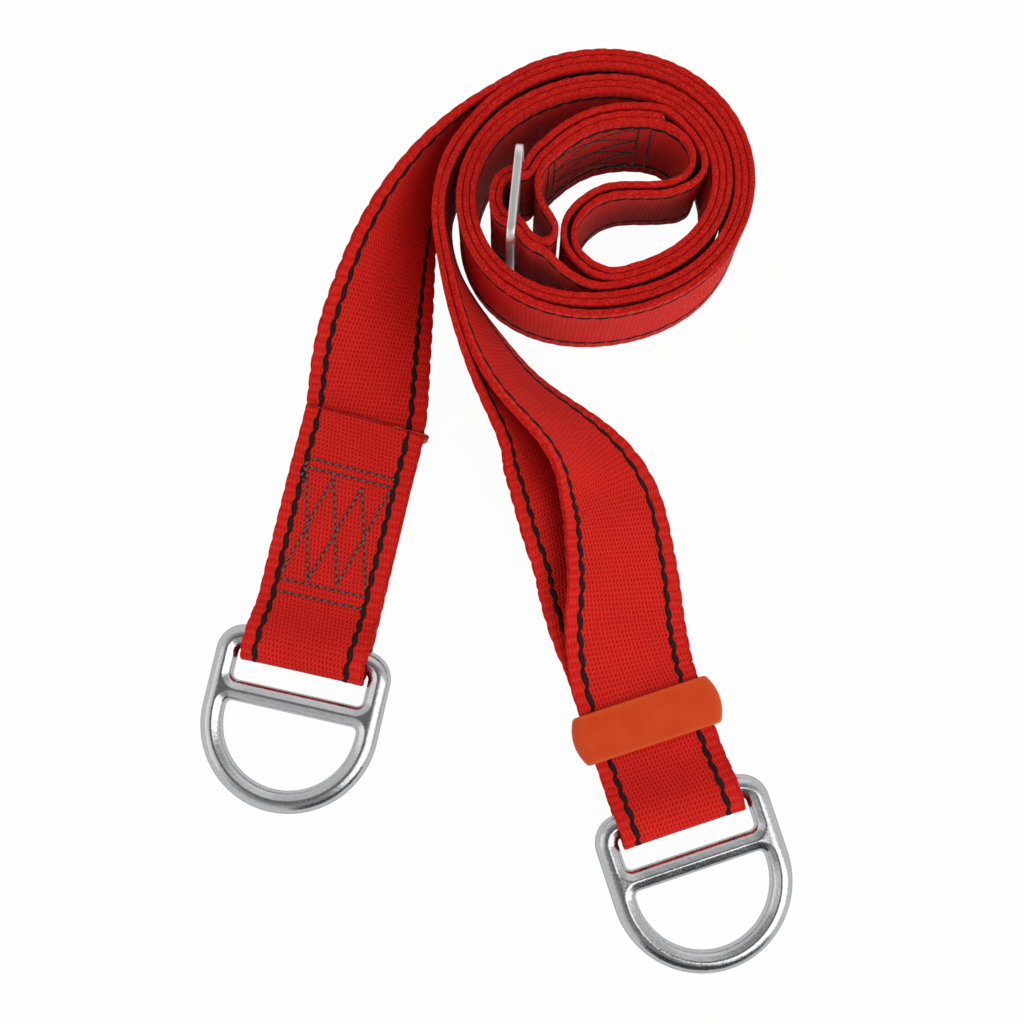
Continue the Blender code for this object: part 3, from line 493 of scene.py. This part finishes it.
# a map for baking: the strap cut into five lengths laid side by side
girth = np.concatenate(([0], np.cumsum(np.hypot(np.diff(np.append(sectionAcross, sectionAcross[0])),
                                                np.diff(np.append(sectionOut, sectionOut[0]))))))
perRow = math.ceil((stations - 1) / 5)
side = max(perRow * web["station"], 5 * (girth[-1] + 3)) + 4
loopVert = np.zeros(len(webbing.data.loops), np.int32)
webbing.data.loops.foreach_get("vertex_index", loopVert)
quadLoops = 4 * len(faces)
quad = np.arange(quadLoops) // 4
atRow, atColumn = loopVert[:quadLoops] // columns, loopVert[:quadLoops] % columns
strip = quad // columns // perRow
atColumn = np.where((quad % columns == columns - 1) & (atColumn == 0), columns, atColumn)
bakeMap = np.zeros((len(loopVert), 2), np.float32)
bakeMap[:quadLoops, 0] = (2 + (atRow - strip * perRow) * web["station"]) / side
bakeMap[:quadLoops, 1] = (2 + strip * (girth[-1] + 3) + girth[atColumn]) / side
webbing.data.uv_layers.new(name="OFBake").data.foreach_set("uv", bakeMap.ravel())
print("webbing made,", len(webbing.data.polygons), "faces")

# Tracer yarns: a chain of slim spindles along two lines of each face
tracer = {"pitch": 6.25, "halfLength": 3.5, "halfWidth": 1.32, "rise": 0.24, "slant": 0.6}


def tracerMaterial():
    material, tree, shader = newMaterial("blackTracer")
    place = node(tree, "TexCoord").outputs["Object"]
    grain = node(tree, "TexNoise", place, None, 2400.0, 3.0).outputs[0]
    colour = mixColours(tree, spread(tree, grain, 0.3, 0.7, 0, 1), (0.011, 0.006, 0.006, 1), (0.04, 0.022, 0.02, 1))
    tree.links.new(colour, shader.inputs["Base Color"])
    shader.inputs["Roughness"].default_value = 0.8
    shader.inputs["Specular IOR Level"].default_value = 0.1
    addBump(tree, shader, grain, 0.5, 0.0002)
    return material


def tracerYarns():
    # each spindle: half-width and height fall to nothing at its ends as a power of 1 - p squared, and it leans
    p = np.linspace(-1, 1, 9)[None, :, None]
    turn = np.radians(np.arange(0, 360, 60) + 30)[None, None, :]
    swell = np.maximum(1 - p ** 2, 0)
    parts = []
    for faceSide in (1, -1):
        for place in web["tracers"]:
            centre = np.arange(tracer["pitch"] * (0.75 if faceSide > 0 else 1.25), strapLength - 4, tracer["pitch"])
            run = centre[:, None, None] + tracer["halfLength"] * p + 0 * turn
            across = place + tracer["slant"] * p * faceSide + tracer["halfWidth"] * swell ** 0.8 * np.cos(turn)
            base = web["thick"] / 2 - web["tracerDip"]
            out = faceSide * (base + tracer["rise"] * swell ** 0.4 * np.sin(turn) + 0.06 * swell - 0.02)
            parts.append(strapSpot(run, across + 0 * run, out + 0 * run))
    return np.concatenate(parts)


spindles = tracerYarns()
spindles[..., 2] = np.maximum(spindles[..., 2], 0)
tracers = addPiece("tracer_yarns", spindles, manyGrids(len(spindles), *spindles.shape[1:3]), tracerMaterial(),
                   "strap", merge=True)
print("tracer yarns made,", len(spindles), "spindles")

# Cut ends: a melted bead across the strap, and a melted ear at the tail's outer corner
cutEnd = {"radius": 0.62, "waver": 0.16, "ear": (1.5, 1.9, 0.85), "earReach": 0.6}


def meltedMaterial():
    material, tree, shader = newMaterial("meltedRed")
    place = node(tree, "TexCoord").outputs["Object"]
    lump = node(tree, "TexNoise", place, None, 170.0, 3.0).outputs[0]
    x = node(tree, "SeparateXYZ", place).outputs[0]
    # painted glint: pale pink patches only on the right-hand part of the bead, where the noise rises; the rest keeps
    # the darker melted red
    pale = sums(tree, "MULTIPLY", spread(tree, x, -0.047, -0.041, 0, 1), spread(tree, lump, 0.4, 0.55, 0, 1))
    colour = mixColours(tree, pale, (0.4, 0.006, 0.005, 1), (0.66, 0.11, 0.09, 1))
    tree.links.new(colour, shader.inputs["Base Color"])
    tree.links.new(spread(tree, lump, 0.2, 0.8, 0.25, 0.6), shader.inputs["Roughness"])
    addBump(tree, shader, lump, 0.4, 0.0003)
    return material


def meltedBead(run, way):
    # tube across the strap's end whose radius wavers as a sum of sines and closes at both edges
    part = np.linspace(-1, 1, 61)[:, None]
    turn = np.radians(np.arange(0, 360, 36))[None, :]
    across = part * web["width"] / 2 * 0.998
    radius = cutEnd["radius"] + cutEnd["waver"] * (np.sin(9.1 * part) + np.sin(23.7 * part + 1) + np.sin(41 * part)) / 3
    radius = radius * np.maximum(1 - np.abs(part) ** 14, 0) ** 0.5
    reach = way * (0.15 + 0.25 * np.sin(5.3 * part) * np.sin(13 * part))
    return strapSpot(run + (tailCut(across) if run == 0 else 0 * across), across, 0 * across) + (
        strapSpot(run, 0 * across, radius * np.sin(turn)) - strapSpot(run, 0, 0)
        + (radius * np.cos(turn) * 0.7 + reach)[..., None] * endWay(run))


def endWay(run):
    # direction out of the strap at one of its ends
    a, b = (strapMiddle[0], strapMiddle[2]) if run == 0 else (strapMiddle[-1], strapMiddle[-3])
    return (a - b) / np.linalg.norm(a - b)


def meltedEar():
    # lump at the tail's right-hand corner: an ellipsoid whose surface swells with a product of sines
    up = np.linspace(-1, 1, 13)[:, None]
    turn = np.radians(np.arange(0, 360, 18))[None, :]
    round_ = np.sqrt(1 - up ** 2) * (1 + 0.14 * np.sin(3 * turn) * np.cos(4 * up) + 0.08 * np.cos(5 * turn))
    wide, long, high = cutEnd["ear"]
    across = -web["width"] / 2 + 0.6 - cutEnd["earReach"] + wide * round_ * np.cos(turn)
    along = long * round_ * np.sin(turn) - 0.8
    return strapSpot(tailCut(across), across, high * up + 0 * across) + along[..., None] * endWay(0)


beads = [meltedBead(0, 1), meltedBead(strapLength, 1)]
ear = meltedEar()
beadFaces = manyGrids(2, *beads[0].shape[:2])
earFaces = gridFaces(*ear.shape[:2], closedColumns=True, first=2 * beads[0].size // 3)
cutEnds = addPiece("cut_ends", np.concatenate([part.reshape(-1, 3) for part in (*beads, ear)]),
                   beadFaces + earFaces, meltedMaterial(), "strap", merge=True)
print("cut ends made")


# Sewing: needle and bobbin threads on the two sewn patterns
def threadMaterial():
    material, tree, shader = newMaterial("greyThread")
    spot = node(tree, "Attribute", attribute_name="threadSpot")
    _, lift, shade = node(tree, "SeparateXYZ", spot.outputs["Vector"]).outputs
    twist = node(tree, "TexNoise", node(tree, "TexCoord").outputs["Object"], None, 3000.0, 2.0).outputs[0]
    # painted shade: near black where the thread dips into the fabric, and darker on the eye's patterns by their shade
    # share
    shown = spread(tree, lift, 0.55, 0.8, 0, 1)
    pale = mixColours(tree, shade, (0.135, 0.1, 0.086, 1), (0.035, 0.018, 0.016, 1))
    colour = mixColours(tree, shown, (0.012, 0.004, 0.004, 1), pale)
    tone = spread(tree, twist, 0.3, 0.7, 0.75, 1.15)
    tree.links.new(mixColours(tree, 1.0, colour, node(tree, "CombineColor", tone, tone, tone).outputs[0], "MULTIPLY"),
                   shader.inputs["Base Color"])
    shader.inputs["Roughness"].default_value = 0.65
    addBump(tree, shader, twist, 0.4, 0.0002)
    return material


greyThread = threadMaterial()


def sewnLines(length):
    # rows and crosses as width share from left to right and length share from the far end
    top, bottom = 3.3 / length, 1 - 4.6 / length
    rows = [np.array([(0.01, v), (0.99, v)]) for v in (0, top, bottom, 1)]
    crosses = [np.array([(0.0, 0.87), (0.31, 0.09), (0.64, 0.87), (0.97, 0.09)]),
               np.array([(0.0, 0.1), (0.31, 0.88), (0.65, 0.12), (0.97, 0.86)])]
    return rows + crosses


def sewThread(name, length, start, way, side, stands, extra=(), shade=0):
    # tube along each line of the pattern; its height swells over every stitch and dips between them
    tubes, marks, faces, used = [], [], [], 0
    turn = np.radians(np.arange(0, 360, 60))
    for order, line in enumerate([*sewnLines(length), *extra]):
        flat = line * (thread["width"], length)
        run = np.concatenate(([0], np.cumsum(np.hypot(*np.diff(flat, axis=0).T))))
        t = np.linspace(0, run[-1], max(8, round(run[-1] / 0.3)))
        acrossLine = thread["width"] / 2 - np.interp(t, run, flat[:, 0])
        alongLine = start + way * (length - np.interp(t, run, flat[:, 1]))
        waver = 0.12 * np.sin(t * 1.3 + order * 2)
        wave = np.abs(np.sin(np.pi * t / thread["stitch"]))
        lift = web["thick"] / 2 - 0.29 + (0.41 + 0.05 * (order == 5)) * wave
        radius = thread["radius"] * (0.75 + 0.25 * wave)
        radius[[0, -1]] = 0
        slope = np.gradient(np.column_stack((acrossLine, alongLine)), axis=0)
        slope /= np.linalg.norm(slope, axis=1)[:, None]
        across = (acrossLine + waver)[:, None] + (-slope[:, 1] * radius)[:, None] * np.cos(turn)
        along = alongLine[:, None] + (slope[:, 0] * radius)[:, None] * np.cos(turn)
        tube = strapSpot(along, across, side * (lift[:, None] + radius[:, None] * np.sin(turn)))
        tubes.append(tube.reshape(-1, 3))
        # each point keeps its run, its rise over the stitch, which the material darkens as painted shade at the dips,
        # and the pattern's painted shade share
        marks.append(np.stack(np.broadcast_arrays(t[:, None], wave[:, None], shade + 0 * tube[..., 0]), -1).reshape(-1, 3))
        faces += gridFaces(len(t), 6, closedColumns=True, first=used)
        used += tube.size // 3
    piece = addPiece(name, np.concatenate(tubes), faces, greyThread, "strap", stands)
    keepSpots(piece, "threadSpot", np.concatenate(marks))
    return piece


def rowAt(block, plan):
    # distance along the strap of the row in a block that is nearest a plan point
    first = joints[block - 1] if block else 0
    last = joints[block] if block < len(joints) else len(middle)
    return rowRun[first + np.argmin(np.hypot(*(middle[first:last, :2] - shift[:2] - plan).T))]


tailBar, legBar = rowRun[joints[0] - 1], rowRun[joints[1]]
sewnFrom, sewnTo = rowAt(4, sewn[0, :2]), rowAt(4, sewn[-1, :2])
eyeStart = sewnTo - thread["eyeLength"] - thread["eyeMargin"]
behindStart = strapLength - (eyeStart - sewnFrom)
backTack = np.array([(0.0, 0.02), (-0.05, 0.07), (-0.005, 0.1), (-0.05, 0.13), (-0.01, 0.17)])  # locked start
sewThread("sewing_ring_top", thread["ringLength"], tailBar - thread["ringStart"], -1, -1, ("ring_stitch_top",),
          extra=[backTack])
sewThread("sewing_ring_under", thread["ringLength"], legBar + thread["ringStart"], 1, -1, ("ring_stitch_under",))
# the eye's patterns take a painted shade share of 0.8, as they lie inside the sewn eye
sewThread("sewing_eye_front", thread["eyeLength"], eyeStart, 1, -1, ("buckle_stitch_front",), shade=0.8)
sewThread("sewing_eye_back", thread["eyeLength"], behindStart, -1, -1, ("buckle_stitch_back",), shade=0.8)
print("sewing made on four faces")


# D-rings: a forging whose flanks rise from every edge and meet in a crease
def zincMaterial():
    material, tree, shader = newMaterial("brightZinc")
    place = node(tree, "TexCoord").outputs["Object"]
    speck = node(tree, "TexNoise", place, None, 1500.0, 4.0).outputs[0]
    cloud = node(tree, "TexNoise", place, None, 160.0, 3.0).outputs[0]
    colour = mixColours(tree, spread(tree, speck, 0.35, 0.65, 0, 1), (0.46, 0.465, 0.475, 1), (0.54, 0.545, 0.555, 1))
    tree.links.new(colour, shader.inputs["Base Color"])
    rough = sums(tree, "ADD", spread(tree, speck, 0.3, 0.7, 0.17, 0.24), spread(tree, cloud, 0.3, 0.7, 0, 0.07))
    tree.links.new(rough, shader.inputs["Roughness"])
    shader.inputs["Metallic"].default_value = 1
    shader.inputs["Specular Tint"].default_value = (0.62, 0.62, 0.63, 1)
    dent = node(tree, "TexNoise", place, None, 420.0, 2.0).outputs[0]
    addBump(tree, shader, sums(tree, "MULTIPLY_ADD", speck, 0.3, dent), 0.3, 0.00025)
    return material


zinc = zincMaterial()
half = web["width"] / 2 + ring["sideClear"] + ring["bar"] / 2
barHalf = ring["bar"] / 2
slotTop, slotBottom = -barHalf, -barHalf - ring["slotHeight"]
eyeTop = slotBottom - ring["crossbar"]
eyeCentre = eyeTop - ring["eyeStraight"]
hole = half - barHalf


def roundedGap(x, y, low, high, lowRound, highRound):
    # distance outside a rectangle between two heights, with its own corner radius at each
    radius = np.where(y > (low + high) / 2, highRound, lowRound)
    dx = np.abs(x) - hole + radius
    dy = np.abs(y - (low + high) / 2) - (high - low) / 2 + radius
    return np.hypot(np.maximum(dx, 0), np.maximum(dy, 0)) + np.minimum(np.maximum(dx, dy), 0) - radius


def forgedHeight(x, y, fromOuter):
    # half-height: the lesser of an elliptic rise from the outer edge, and a small round and straight slope from
    # the nearer hole
    slotGap = roundedGap(x, y, slotBottom, slotTop, ring["slotFillet"], ring["slotCorner"])
    eyeGap = np.where(y < eyeCentre, np.hypot(x, y - eyeCentre) - hole,
                      roundedGap(x, y, 2 * eyeCentre - eyeTop, eyeTop, ring["eyeFillet"], ring["eyeFillet"]))
    inner = np.maximum(np.minimum(slotGap, eyeGap), 0)

    def roundRise(distance, reach, height):
        return height * np.sqrt(1 - (1 - np.clip(distance / reach, 0, 1)) ** 2)

    return np.minimum(roundRise(fromOuter, ring["outerFlank"], barHalf),
                      roundRise(inner, ring["innerRound"], ring["innerWall"]) + ring["innerSlope"] * inner)


def ringSurface():
    corner = ring["slotCorner"] + barHalf
    acrossBar = (1 - np.cos(np.linspace(0, np.pi, 35))) / 2
    sideTop, sideBottom = slotBottom + ring["slotFillet"], eyeTop - ring["eyeFillet"]
    crossY = sideTop + (sideBottom - sideTop) * acrossBar
    # the right half of the bar's centre line, from the middle of the upper bar to the bottom of the eye
    arc = np.radians(np.linspace(0, 90, 16))
    bow = np.radians(np.linspace(0, 90, 55))
    pathX = np.concatenate((np.linspace(0, half - corner, 24)[:-1], half - corner + corner * np.sin(arc),
                            np.full(12 + len(crossY), half), half * np.cos(bow)))
    pathY = np.concatenate((np.zeros(23), -corner + corner * np.cos(arc),
                            np.linspace(-corner, sideTop, 13)[1:-1], crossY, [(sideBottom + eyeCentre) / 2],
                            eyeCentre - half * np.sin(bow)))
    wayX = np.concatenate((np.zeros(23), np.sin(arc), np.ones(12 + len(crossY)), np.cos(bow)))
    wayY = np.concatenate((np.ones(23), np.cos(arc), np.zeros(12 + len(crossY)), -np.sin(bow)))
    mirror = slice(-2, 0, -1)
    pathX, pathY = np.concatenate((pathX, -pathX[mirror])), np.concatenate((pathY, pathY[mirror]))
    wayX, wayY = np.concatenate((wayX, -wayX[mirror])), np.concatenate((wayY, wayY[mirror]))
    bend = 1 - np.cos(np.linspace(0, np.pi / 2, 15))
    fromOuter = np.concatenate((ring["crease"] * bend, ring["bar"] - ((ring["bar"] - ring["crease"]) * bend)[-2::-1]))
    x = pathX[:, None] + wayX[:, None] * (barHalf - fromOuter)
    y = pathY[:, None] + wayY[:, None] * (barHalf - fromOuter)
    high = forgedHeight(x, y, np.broadcast_to(fromOuter, x.shape))
    flash = 0.12 * (fromOuter == 0)
    x, y = x + wayX[:, None] * flash, y + wayY[:, None] * flash
    # crossbar between the slot and the eye, its edges running into the fillets
    endX = hole - ring["eyeFillet"] + ring["eyeFillet"] * np.sin(np.radians(np.linspace(0, 90, 22)))
    right = np.concatenate((np.linspace(0, hole - ring["eyeFillet"], 22)[:-1], endX))
    barX = np.concatenate((-right[:0:-1], right))

    def fillet(radius):
        return radius - np.sqrt(np.maximum(radius ** 2 - np.maximum(np.abs(barX) - hole + radius, 0) ** 2, 0))

    upper, lower = slotBottom + fillet(ring["slotFillet"]), eyeTop - fillet(ring["eyeFillet"])
    crossXs = np.repeat(barX[:, None], len(acrossBar), axis=1)
    crossYs = upper[:, None] + (lower - upper)[:, None] * acrossBar
    crossHigh = forgedHeight(crossXs, crossYs, np.full_like(crossXs, ring["bar"]) + hole - np.abs(crossXs))
    lowering = 1 - 0.07 * (1 - smoothStep(0.75 * hole, hole, np.abs(crossXs)))
    sheets, faces, used = [], [], 0
    for gx, gy, gz, loops in ((x, y, high, True), (crossXs, crossYs, crossHigh * lowering, False)):
        for way in (1, -1):
            sheets.append(np.stack((gx, gy, way * gz), -1).reshape(-1, 3))
            grid = np.array(gridFaces(*gx.shape, closedRows=loops, first=used))
            faces.append(grid if way > 0 else grid[:, ::-1])
            used += gx.size
    return np.concatenate(sheets), np.concatenate(faces).tolist()


def turnAbout(spots, drop, heading, place):
    # swings about X by drop, about Z by a heading, then moves
    c, s = math.cos(drop), math.sin(drop)
    swung = spots @ np.array(((1, 0, 0), (0, c, s), (0, -s, c)))
    c, s = math.cos(math.radians(heading)), math.sin(math.radians(heading))
    return swung @ np.array(((c, -s, 0), (s, c, 0), (0, 0, 1))) + place


ringSpots, ringFaces = ringSurface()
for name, place, heading, lift, body, stands in (
        ("forged_ring_left", leftRing, legs["leftHeading"], leftLift, "left_ring", "left_d_ring"),
        ("forged_ring_right", rightRing, legs["rightHeading"], rightLift, "right_ring", "right_d_ring")):
    drop = math.asin((barHeight(lift) - barHalf) / (half - eyeCentre))
    spots = turnAbout(ringSpots, drop, heading, np.array((*place, barHeight(lift))) + shift)
    made = addPiece(name, spots, ringFaces, zinc, body, (stands,), merge=True)
    print(name, "made,", len(made.data.polygons), "faces")


# Slide buckle: a plate on edge, every bar with rounded edges
def nickelMaterial():
    material, tree, shader = newMaterial("brushedNickel")
    place = node(tree, "TexCoord").outputs["Object"]
    drawn = node(tree, "Mapping", place, None, None, (900.0, 40.0, 900.0)).outputs[0]
    brush = node(tree, "TexNoise", drawn, None, 1.0, 3.0).outputs[0]
    tree.links.new(mixColours(tree, brush, (0.69, 0.69, 0.69, 1), (0.83, 0.83, 0.825, 1)), shader.inputs["Base Color"])
    tree.links.new(spread(tree, brush, 0.25, 0.75, 0.36, 0.5), shader.inputs["Roughness"])
    shader.inputs["Metallic"].default_value = 1
    addBump(tree, shader, brush, 0.12, 0.0002)
    return material


def roundedLoop(length, height, radius, perCorner, perSide):
    # rounded rectangle as a closed loop of points: four arcs joined by straight runs
    turn = np.radians(np.linspace(0, 90, perCorner))
    loop = []
    for quarter, (sx, sy) in enumerate(((1, 1), (-1, 1), (-1, -1), (1, -1))):
        centre = np.array((sx * (length / 2 - radius), sy * (height / 2 - radius)))
        arc = centre + radius * np.column_stack((np.cos(turn + quarter * np.pi / 2), np.sin(turn + quarter * np.pi / 2)))
        nextSign = ((-1, 1), (-1, -1), (1, -1), (1, 1))[quarter]
        follows = np.array((nextSign[0] * (length / 2 - radius), nextSign[1] * (height / 2 - radius)))
        begin = follows + radius * np.array((math.cos((quarter + 1) * math.pi / 2), math.sin((quarter + 1) * math.pi / 2)))
        part = np.linspace(0, 1, perSide + 2)[1:-1, None]
        loop += [arc, arc[-1] + (begin - arc[-1]) * part]
    return np.concatenate(loop)


def slideBuckle():
    # frame: a rounded section between the inner and the outer loop; centre bar: the same section along the height
    length = buckle["centreBar"] + 2 * buckle["slot"] + 2 * buckle["endBar"]
    slotHeight = web["width"] + 2 * buckle["clear"]
    height = slotHeight + 2 * buckle["rail"]
    outer = roundedLoop(length, height, buckle["corner"], 9, 14)
    inner = roundedLoop(length - 2 * buckle["endBar"], slotHeight, buckle["slotCorner"], 9, 14)
    gap = np.linalg.norm(outer - inner, axis=1)[:, None]
    way = (outer - inner) / gap
    turn = np.radians(np.concatenate([np.linspace(q, q + 90, 5) for q in (0, 90, 180, 270)]))
    sx = np.repeat((1, -1, -1, 1), 5)
    sy = np.repeat((1, 1, -1, -1), 5)
    r = buckle["edgeRound"]
    reach = sx * (gap / 2 - r) + r * np.cos(turn) + gap / 2
    thick = np.broadcast_to(sy * (buckle["thick"] / 2 - r) + r * np.sin(turn), reach.shape)
    plan = inner[:, None, :] + way[:, None, :] * reach[..., None]
    frameSpots = np.stack((thick, plan[..., 0], plan[..., 1]), -1)
    rise = np.linspace(-1, 1, 25) * (slotHeight / 2 + 0.8)
    barY = sx * (buckle["centreBar"] / 2 - r) + r * np.cos(turn)
    barX = sy * (buckle["thick"] / 2 - r) + r * np.sin(turn)
    barSpots = np.stack(np.broadcast_arrays(barX, barY, rise[:, None]), -1)
    faces = gridFaces(*frameSpots.shape[:2], closedRows=True, closedColumns=True)
    used = frameSpots.size // 3
    faces += gridFaces(*barSpots.shape[:2], closedColumns=True, first=used)
    faces += [list(range(used, used + 20)), list(range(used + 24 * 20, used + 25 * 20))]
    spots = np.concatenate((frameSpots.reshape(-1, 3), barSpots.reshape(-1, 3)))
    place = np.array((*buckle["place"], buckle["floorClear"] + height / 2)) + shift
    return turnAbout(spots, 0, buckle["heading"], place), faces


buckleSpots, buckleFaces = slideBuckle()
addPiece("three_bar_slide", buckleSpots, buckleFaces, nickelMaterial(), "buckle", ("slide_buckle",),
         merge=True)
print("slide buckle made")


# Keeper: a flattened rubber tube with soft rims and slightly bowed ends
def rubberMaterial():
    material, tree, shader = newMaterial("orangeRubber")
    spot = node(tree, "Attribute", attribute_name="rimHighlightSpot")
    rim = node(tree, "SeparateXYZ", spot.outputs["Vector"]).outputs[0]
    place = node(tree, "TexCoord").outputs["Object"]
    bloom = node(tree, "TexNoise", place, None, 130.0, 4.0).outputs[0]
    grain = node(tree, "TexNoise", place, None, 2600.0, 2.0).outputs[0]
    colour = mixColours(tree, spread(tree, bloom, 0.3, 0.7, 0, 1), (0.67, 0.064, 0.011, 1), (0.72, 0.077, 0.014, 1))
    # painted highlight: paler, more yellow orange towards both end rims
    colour = mixColours(tree, spread(tree, rim, 0.8, 1, 0, 0.6), colour, (0.75, 0.13, 0.033, 1))
    tree.links.new(colour, shader.inputs["Base Color"])
    tree.links.new(spread(tree, bloom, 0.3, 0.7, 0.42, 0.55), shader.inputs["Roughness"])
    shader.inputs["Specular IOR Level"].default_value = 0.12
    addBump(tree, shader, grain, 0.12, 0.0001)
    return material


def keeperBand():
    # the opening's rounded rectangle, pushed out by the wall's rounded section, which also runs along the strap
    wide = web["width"] + 2 * keeper["sideClear"]
    high = web["thick"] + pitch + 2 * keeper["clear"]
    corner = 0.45 * high
    turn = np.radians(np.concatenate([np.linspace(q, q + 90, 6) for q in (0, 90, 180, 270)]))
    sx, sy = np.repeat((1, -1, -1, 1), 6), np.repeat((1, 1, -1, -1), 6)
    r, length, wall = keeper["rim"], keeper["length"], keeper["wall"]
    out = wall / 2 + sx * (wall / 2 - r) + r * np.cos(turn)
    along = sy * (length / 2 - r) + r * np.sin(turn)
    fill = np.linspace(-1, 1, 13)[1:-1] * (length / 2 - r)
    out = np.concatenate((out[:12], np.zeros(11), out[12:], np.full(11, wall)))
    along = np.concatenate((along[:12], -fill, along[12:], fill))
    base = roundedLoop(wide, high, corner, 9, 16)
    grown = roundedLoop(wide + 2, high + 2, corner + 1, 9, 16)
    push = grown - base
    ringed = base[:, None, :] + push[:, None, :] * out[None, :, None]
    bow = keeper["endBow"] * (1 - (2 * along / length) ** 2) - keeper["endBow"]
    ends = smoothStep(15, wide / 2 + wall, np.abs(ringed[..., 0])) * np.sign(ringed[..., 0])
    spots = np.stack((ringed[..., 0] + ends * bow, np.broadcast_to(along, ringed.shape[:2]), ringed[..., 1]), -1)
    # share of the way to either end, for the painted highlight on the rims
    rim = np.abs(np.broadcast_to(along, ringed.shape[:2])) / (length / 2)
    faces = gridFaces(*spots.shape[:2], closedRows=True, closedColumns=True)
    plan = rightRing + rightForward * keeper["place"]
    place = np.array((*plan, rightLift + (web["thick"] + pitch) / 2)) + shift
    return turnAbout(spots.reshape(-1, 3), 0, legs["rightHeading"], place), faces, rim.ravel()


bandSpots, bandFaces, rimHighlightShare = keeperBand()
band = addPiece("keeper_band_rubber", bandSpots, bandFaces, rubberMaterial(), "keeper_band",
                ("keeper",))
keepSpots(band, "rimHighlightSpot", np.column_stack((rimHighlightShare, 0 * rimHighlightShare, 0 * rimHighlightShare)))
print("keeper made")

# Floor and light: a pale floor that shows white to the camera and in the metal, under a soft sky and three lamps
studio = {"white": 0.97, "sky": [(0, 0.9), (0.3, 0.9), (0.5, 0.8), (0.72, 0.32), (1, 0.16)], "tilt": 0.3}
floorMesh = bpy.data.meshes.new("floor")
floorMesh.from_pydata([(-4, -4, -0.0002), (4, -4, -0.0002), (4, 4, -0.0002), (-4, 4, -0.0002)], [], [(0, 1, 2, 3)])
floor = bpy.data.objects.new("floor", floorMesh)
scene.collection.objects.link(floor)
floorMaterial, tree, shader = newMaterial("paleFloor")
shader.inputs["Base Color"].default_value = (0.82, 0.82, 0.82, 1)
shader.inputs["Roughness"].default_value = 0.9
shader.inputs["Specular IOR Level"].default_value = 0
light = node(tree, "LightPath").outputs
seen = sums(tree, "MAXIMUM", light["Is Camera Ray"], sums(tree, "MAXIMUM", light["Is Glossy Ray"],
                                                          light["Is Transmission Ray"]))
glow = node(tree, "Emission", (1, 1, 1, 1), 1.0)
both = node(tree, "MixShader", sums(tree, "MULTIPLY", seen, studio["white"]))
tree.links.new(shader.outputs[0], both.inputs[1])
tree.links.new(glow.outputs[0], both.inputs[2])
tree.links.new(both.outputs[0], tree.nodes["Material Output"].inputs["Surface"])
floorMesh.materials.append(floorMaterial)

# a dark card in front, which only the metal shows
card = {"left": -0.11, "right": 0.4, "place": -0.42, "height": 0.24, "grey": 0.06}
cardMesh = bpy.data.meshes.new("darkCard")
cardMesh.from_pydata([(card[end], card["place"], card["height"] * high)
                      for end, high in (("left", 0), ("right", 0), ("right", 1), ("left", 1))], [], [(0, 1, 2, 3)])
darkCard = bpy.data.objects.new("darkCard", cardMesh)
darkCard.visible_camera = False
darkCard.visible_diffuse = False
darkCard.visible_shadow = False
darkCard.visible_transmission = False
scene.collection.objects.link(darkCard)
cardMaterial, tree, shader = newMaterial("darkCard")
shader.inputs["Base Color"].default_value = (card["grey"], card["grey"], card["grey"], 1)
shader.inputs["Specular IOR Level"].default_value = 0
cardMesh.materials.append(cardMaterial)

world = bpy.data.worlds.new("softSky")
scene.world = world
world.use_nodes = True
tree = world.node_tree
sky = tree.nodes["Background"]
_, back, up = node(tree, "SeparateXYZ", node(tree, "TexCoord").outputs["Generated"]).outputs
light = node(tree, "LightPath").outputs
mirrored = light["Is Glossy Ray"]
tilt = sums(tree, "MULTIPLY", sums(tree, "MULTIPLY", back, studio["tilt"], clamp=True), mirrored)
bands = node(tree, "ValToRGB", sums(tree, "SUBTRACT", up, tilt))
stops = bands.color_ramp.elements
for order, (place, level) in enumerate(studio["sky"]):
    stop = stops[order] if order < 2 else stops.new(place)
    stop.position, stop.color = place, (level, level, level, 1)
level = node(tree, "Mix", light["Is Camera Ray"], None, bands.outputs[0], 1.0).outputs[0]
tree.links.new(level, sky.inputs["Strength"])
sky.inputs["Color"].default_value = (1, 1, 1, 1)

lamps = [("keyLamp", (0.7, -0.5, 0.85), 1.0, 6.1), ("backLamp", (0.3, 0.8, 0.8), 0.8, 0.6),
         ("leftLamp", (-0.8, -0.2, 0.7), 0.7, 1.2)]
for name, place, size, power in lamps:
    data = bpy.data.lights.new(name, "AREA")
    data.size, data.energy = size, power
    lamp = bpy.data.objects.new(name, data)
    lamp.location = place
    way = np.array((0, 0, 0.02)) - np.array(place)
    lamp.rotation_euler = (math.acos(-way[2] / np.linalg.norm(way)), 0, math.atan2(way[1], way[0]) - math.pi / 2)
    scene.collection.objects.link(lamp)
print("floor and lamps set")
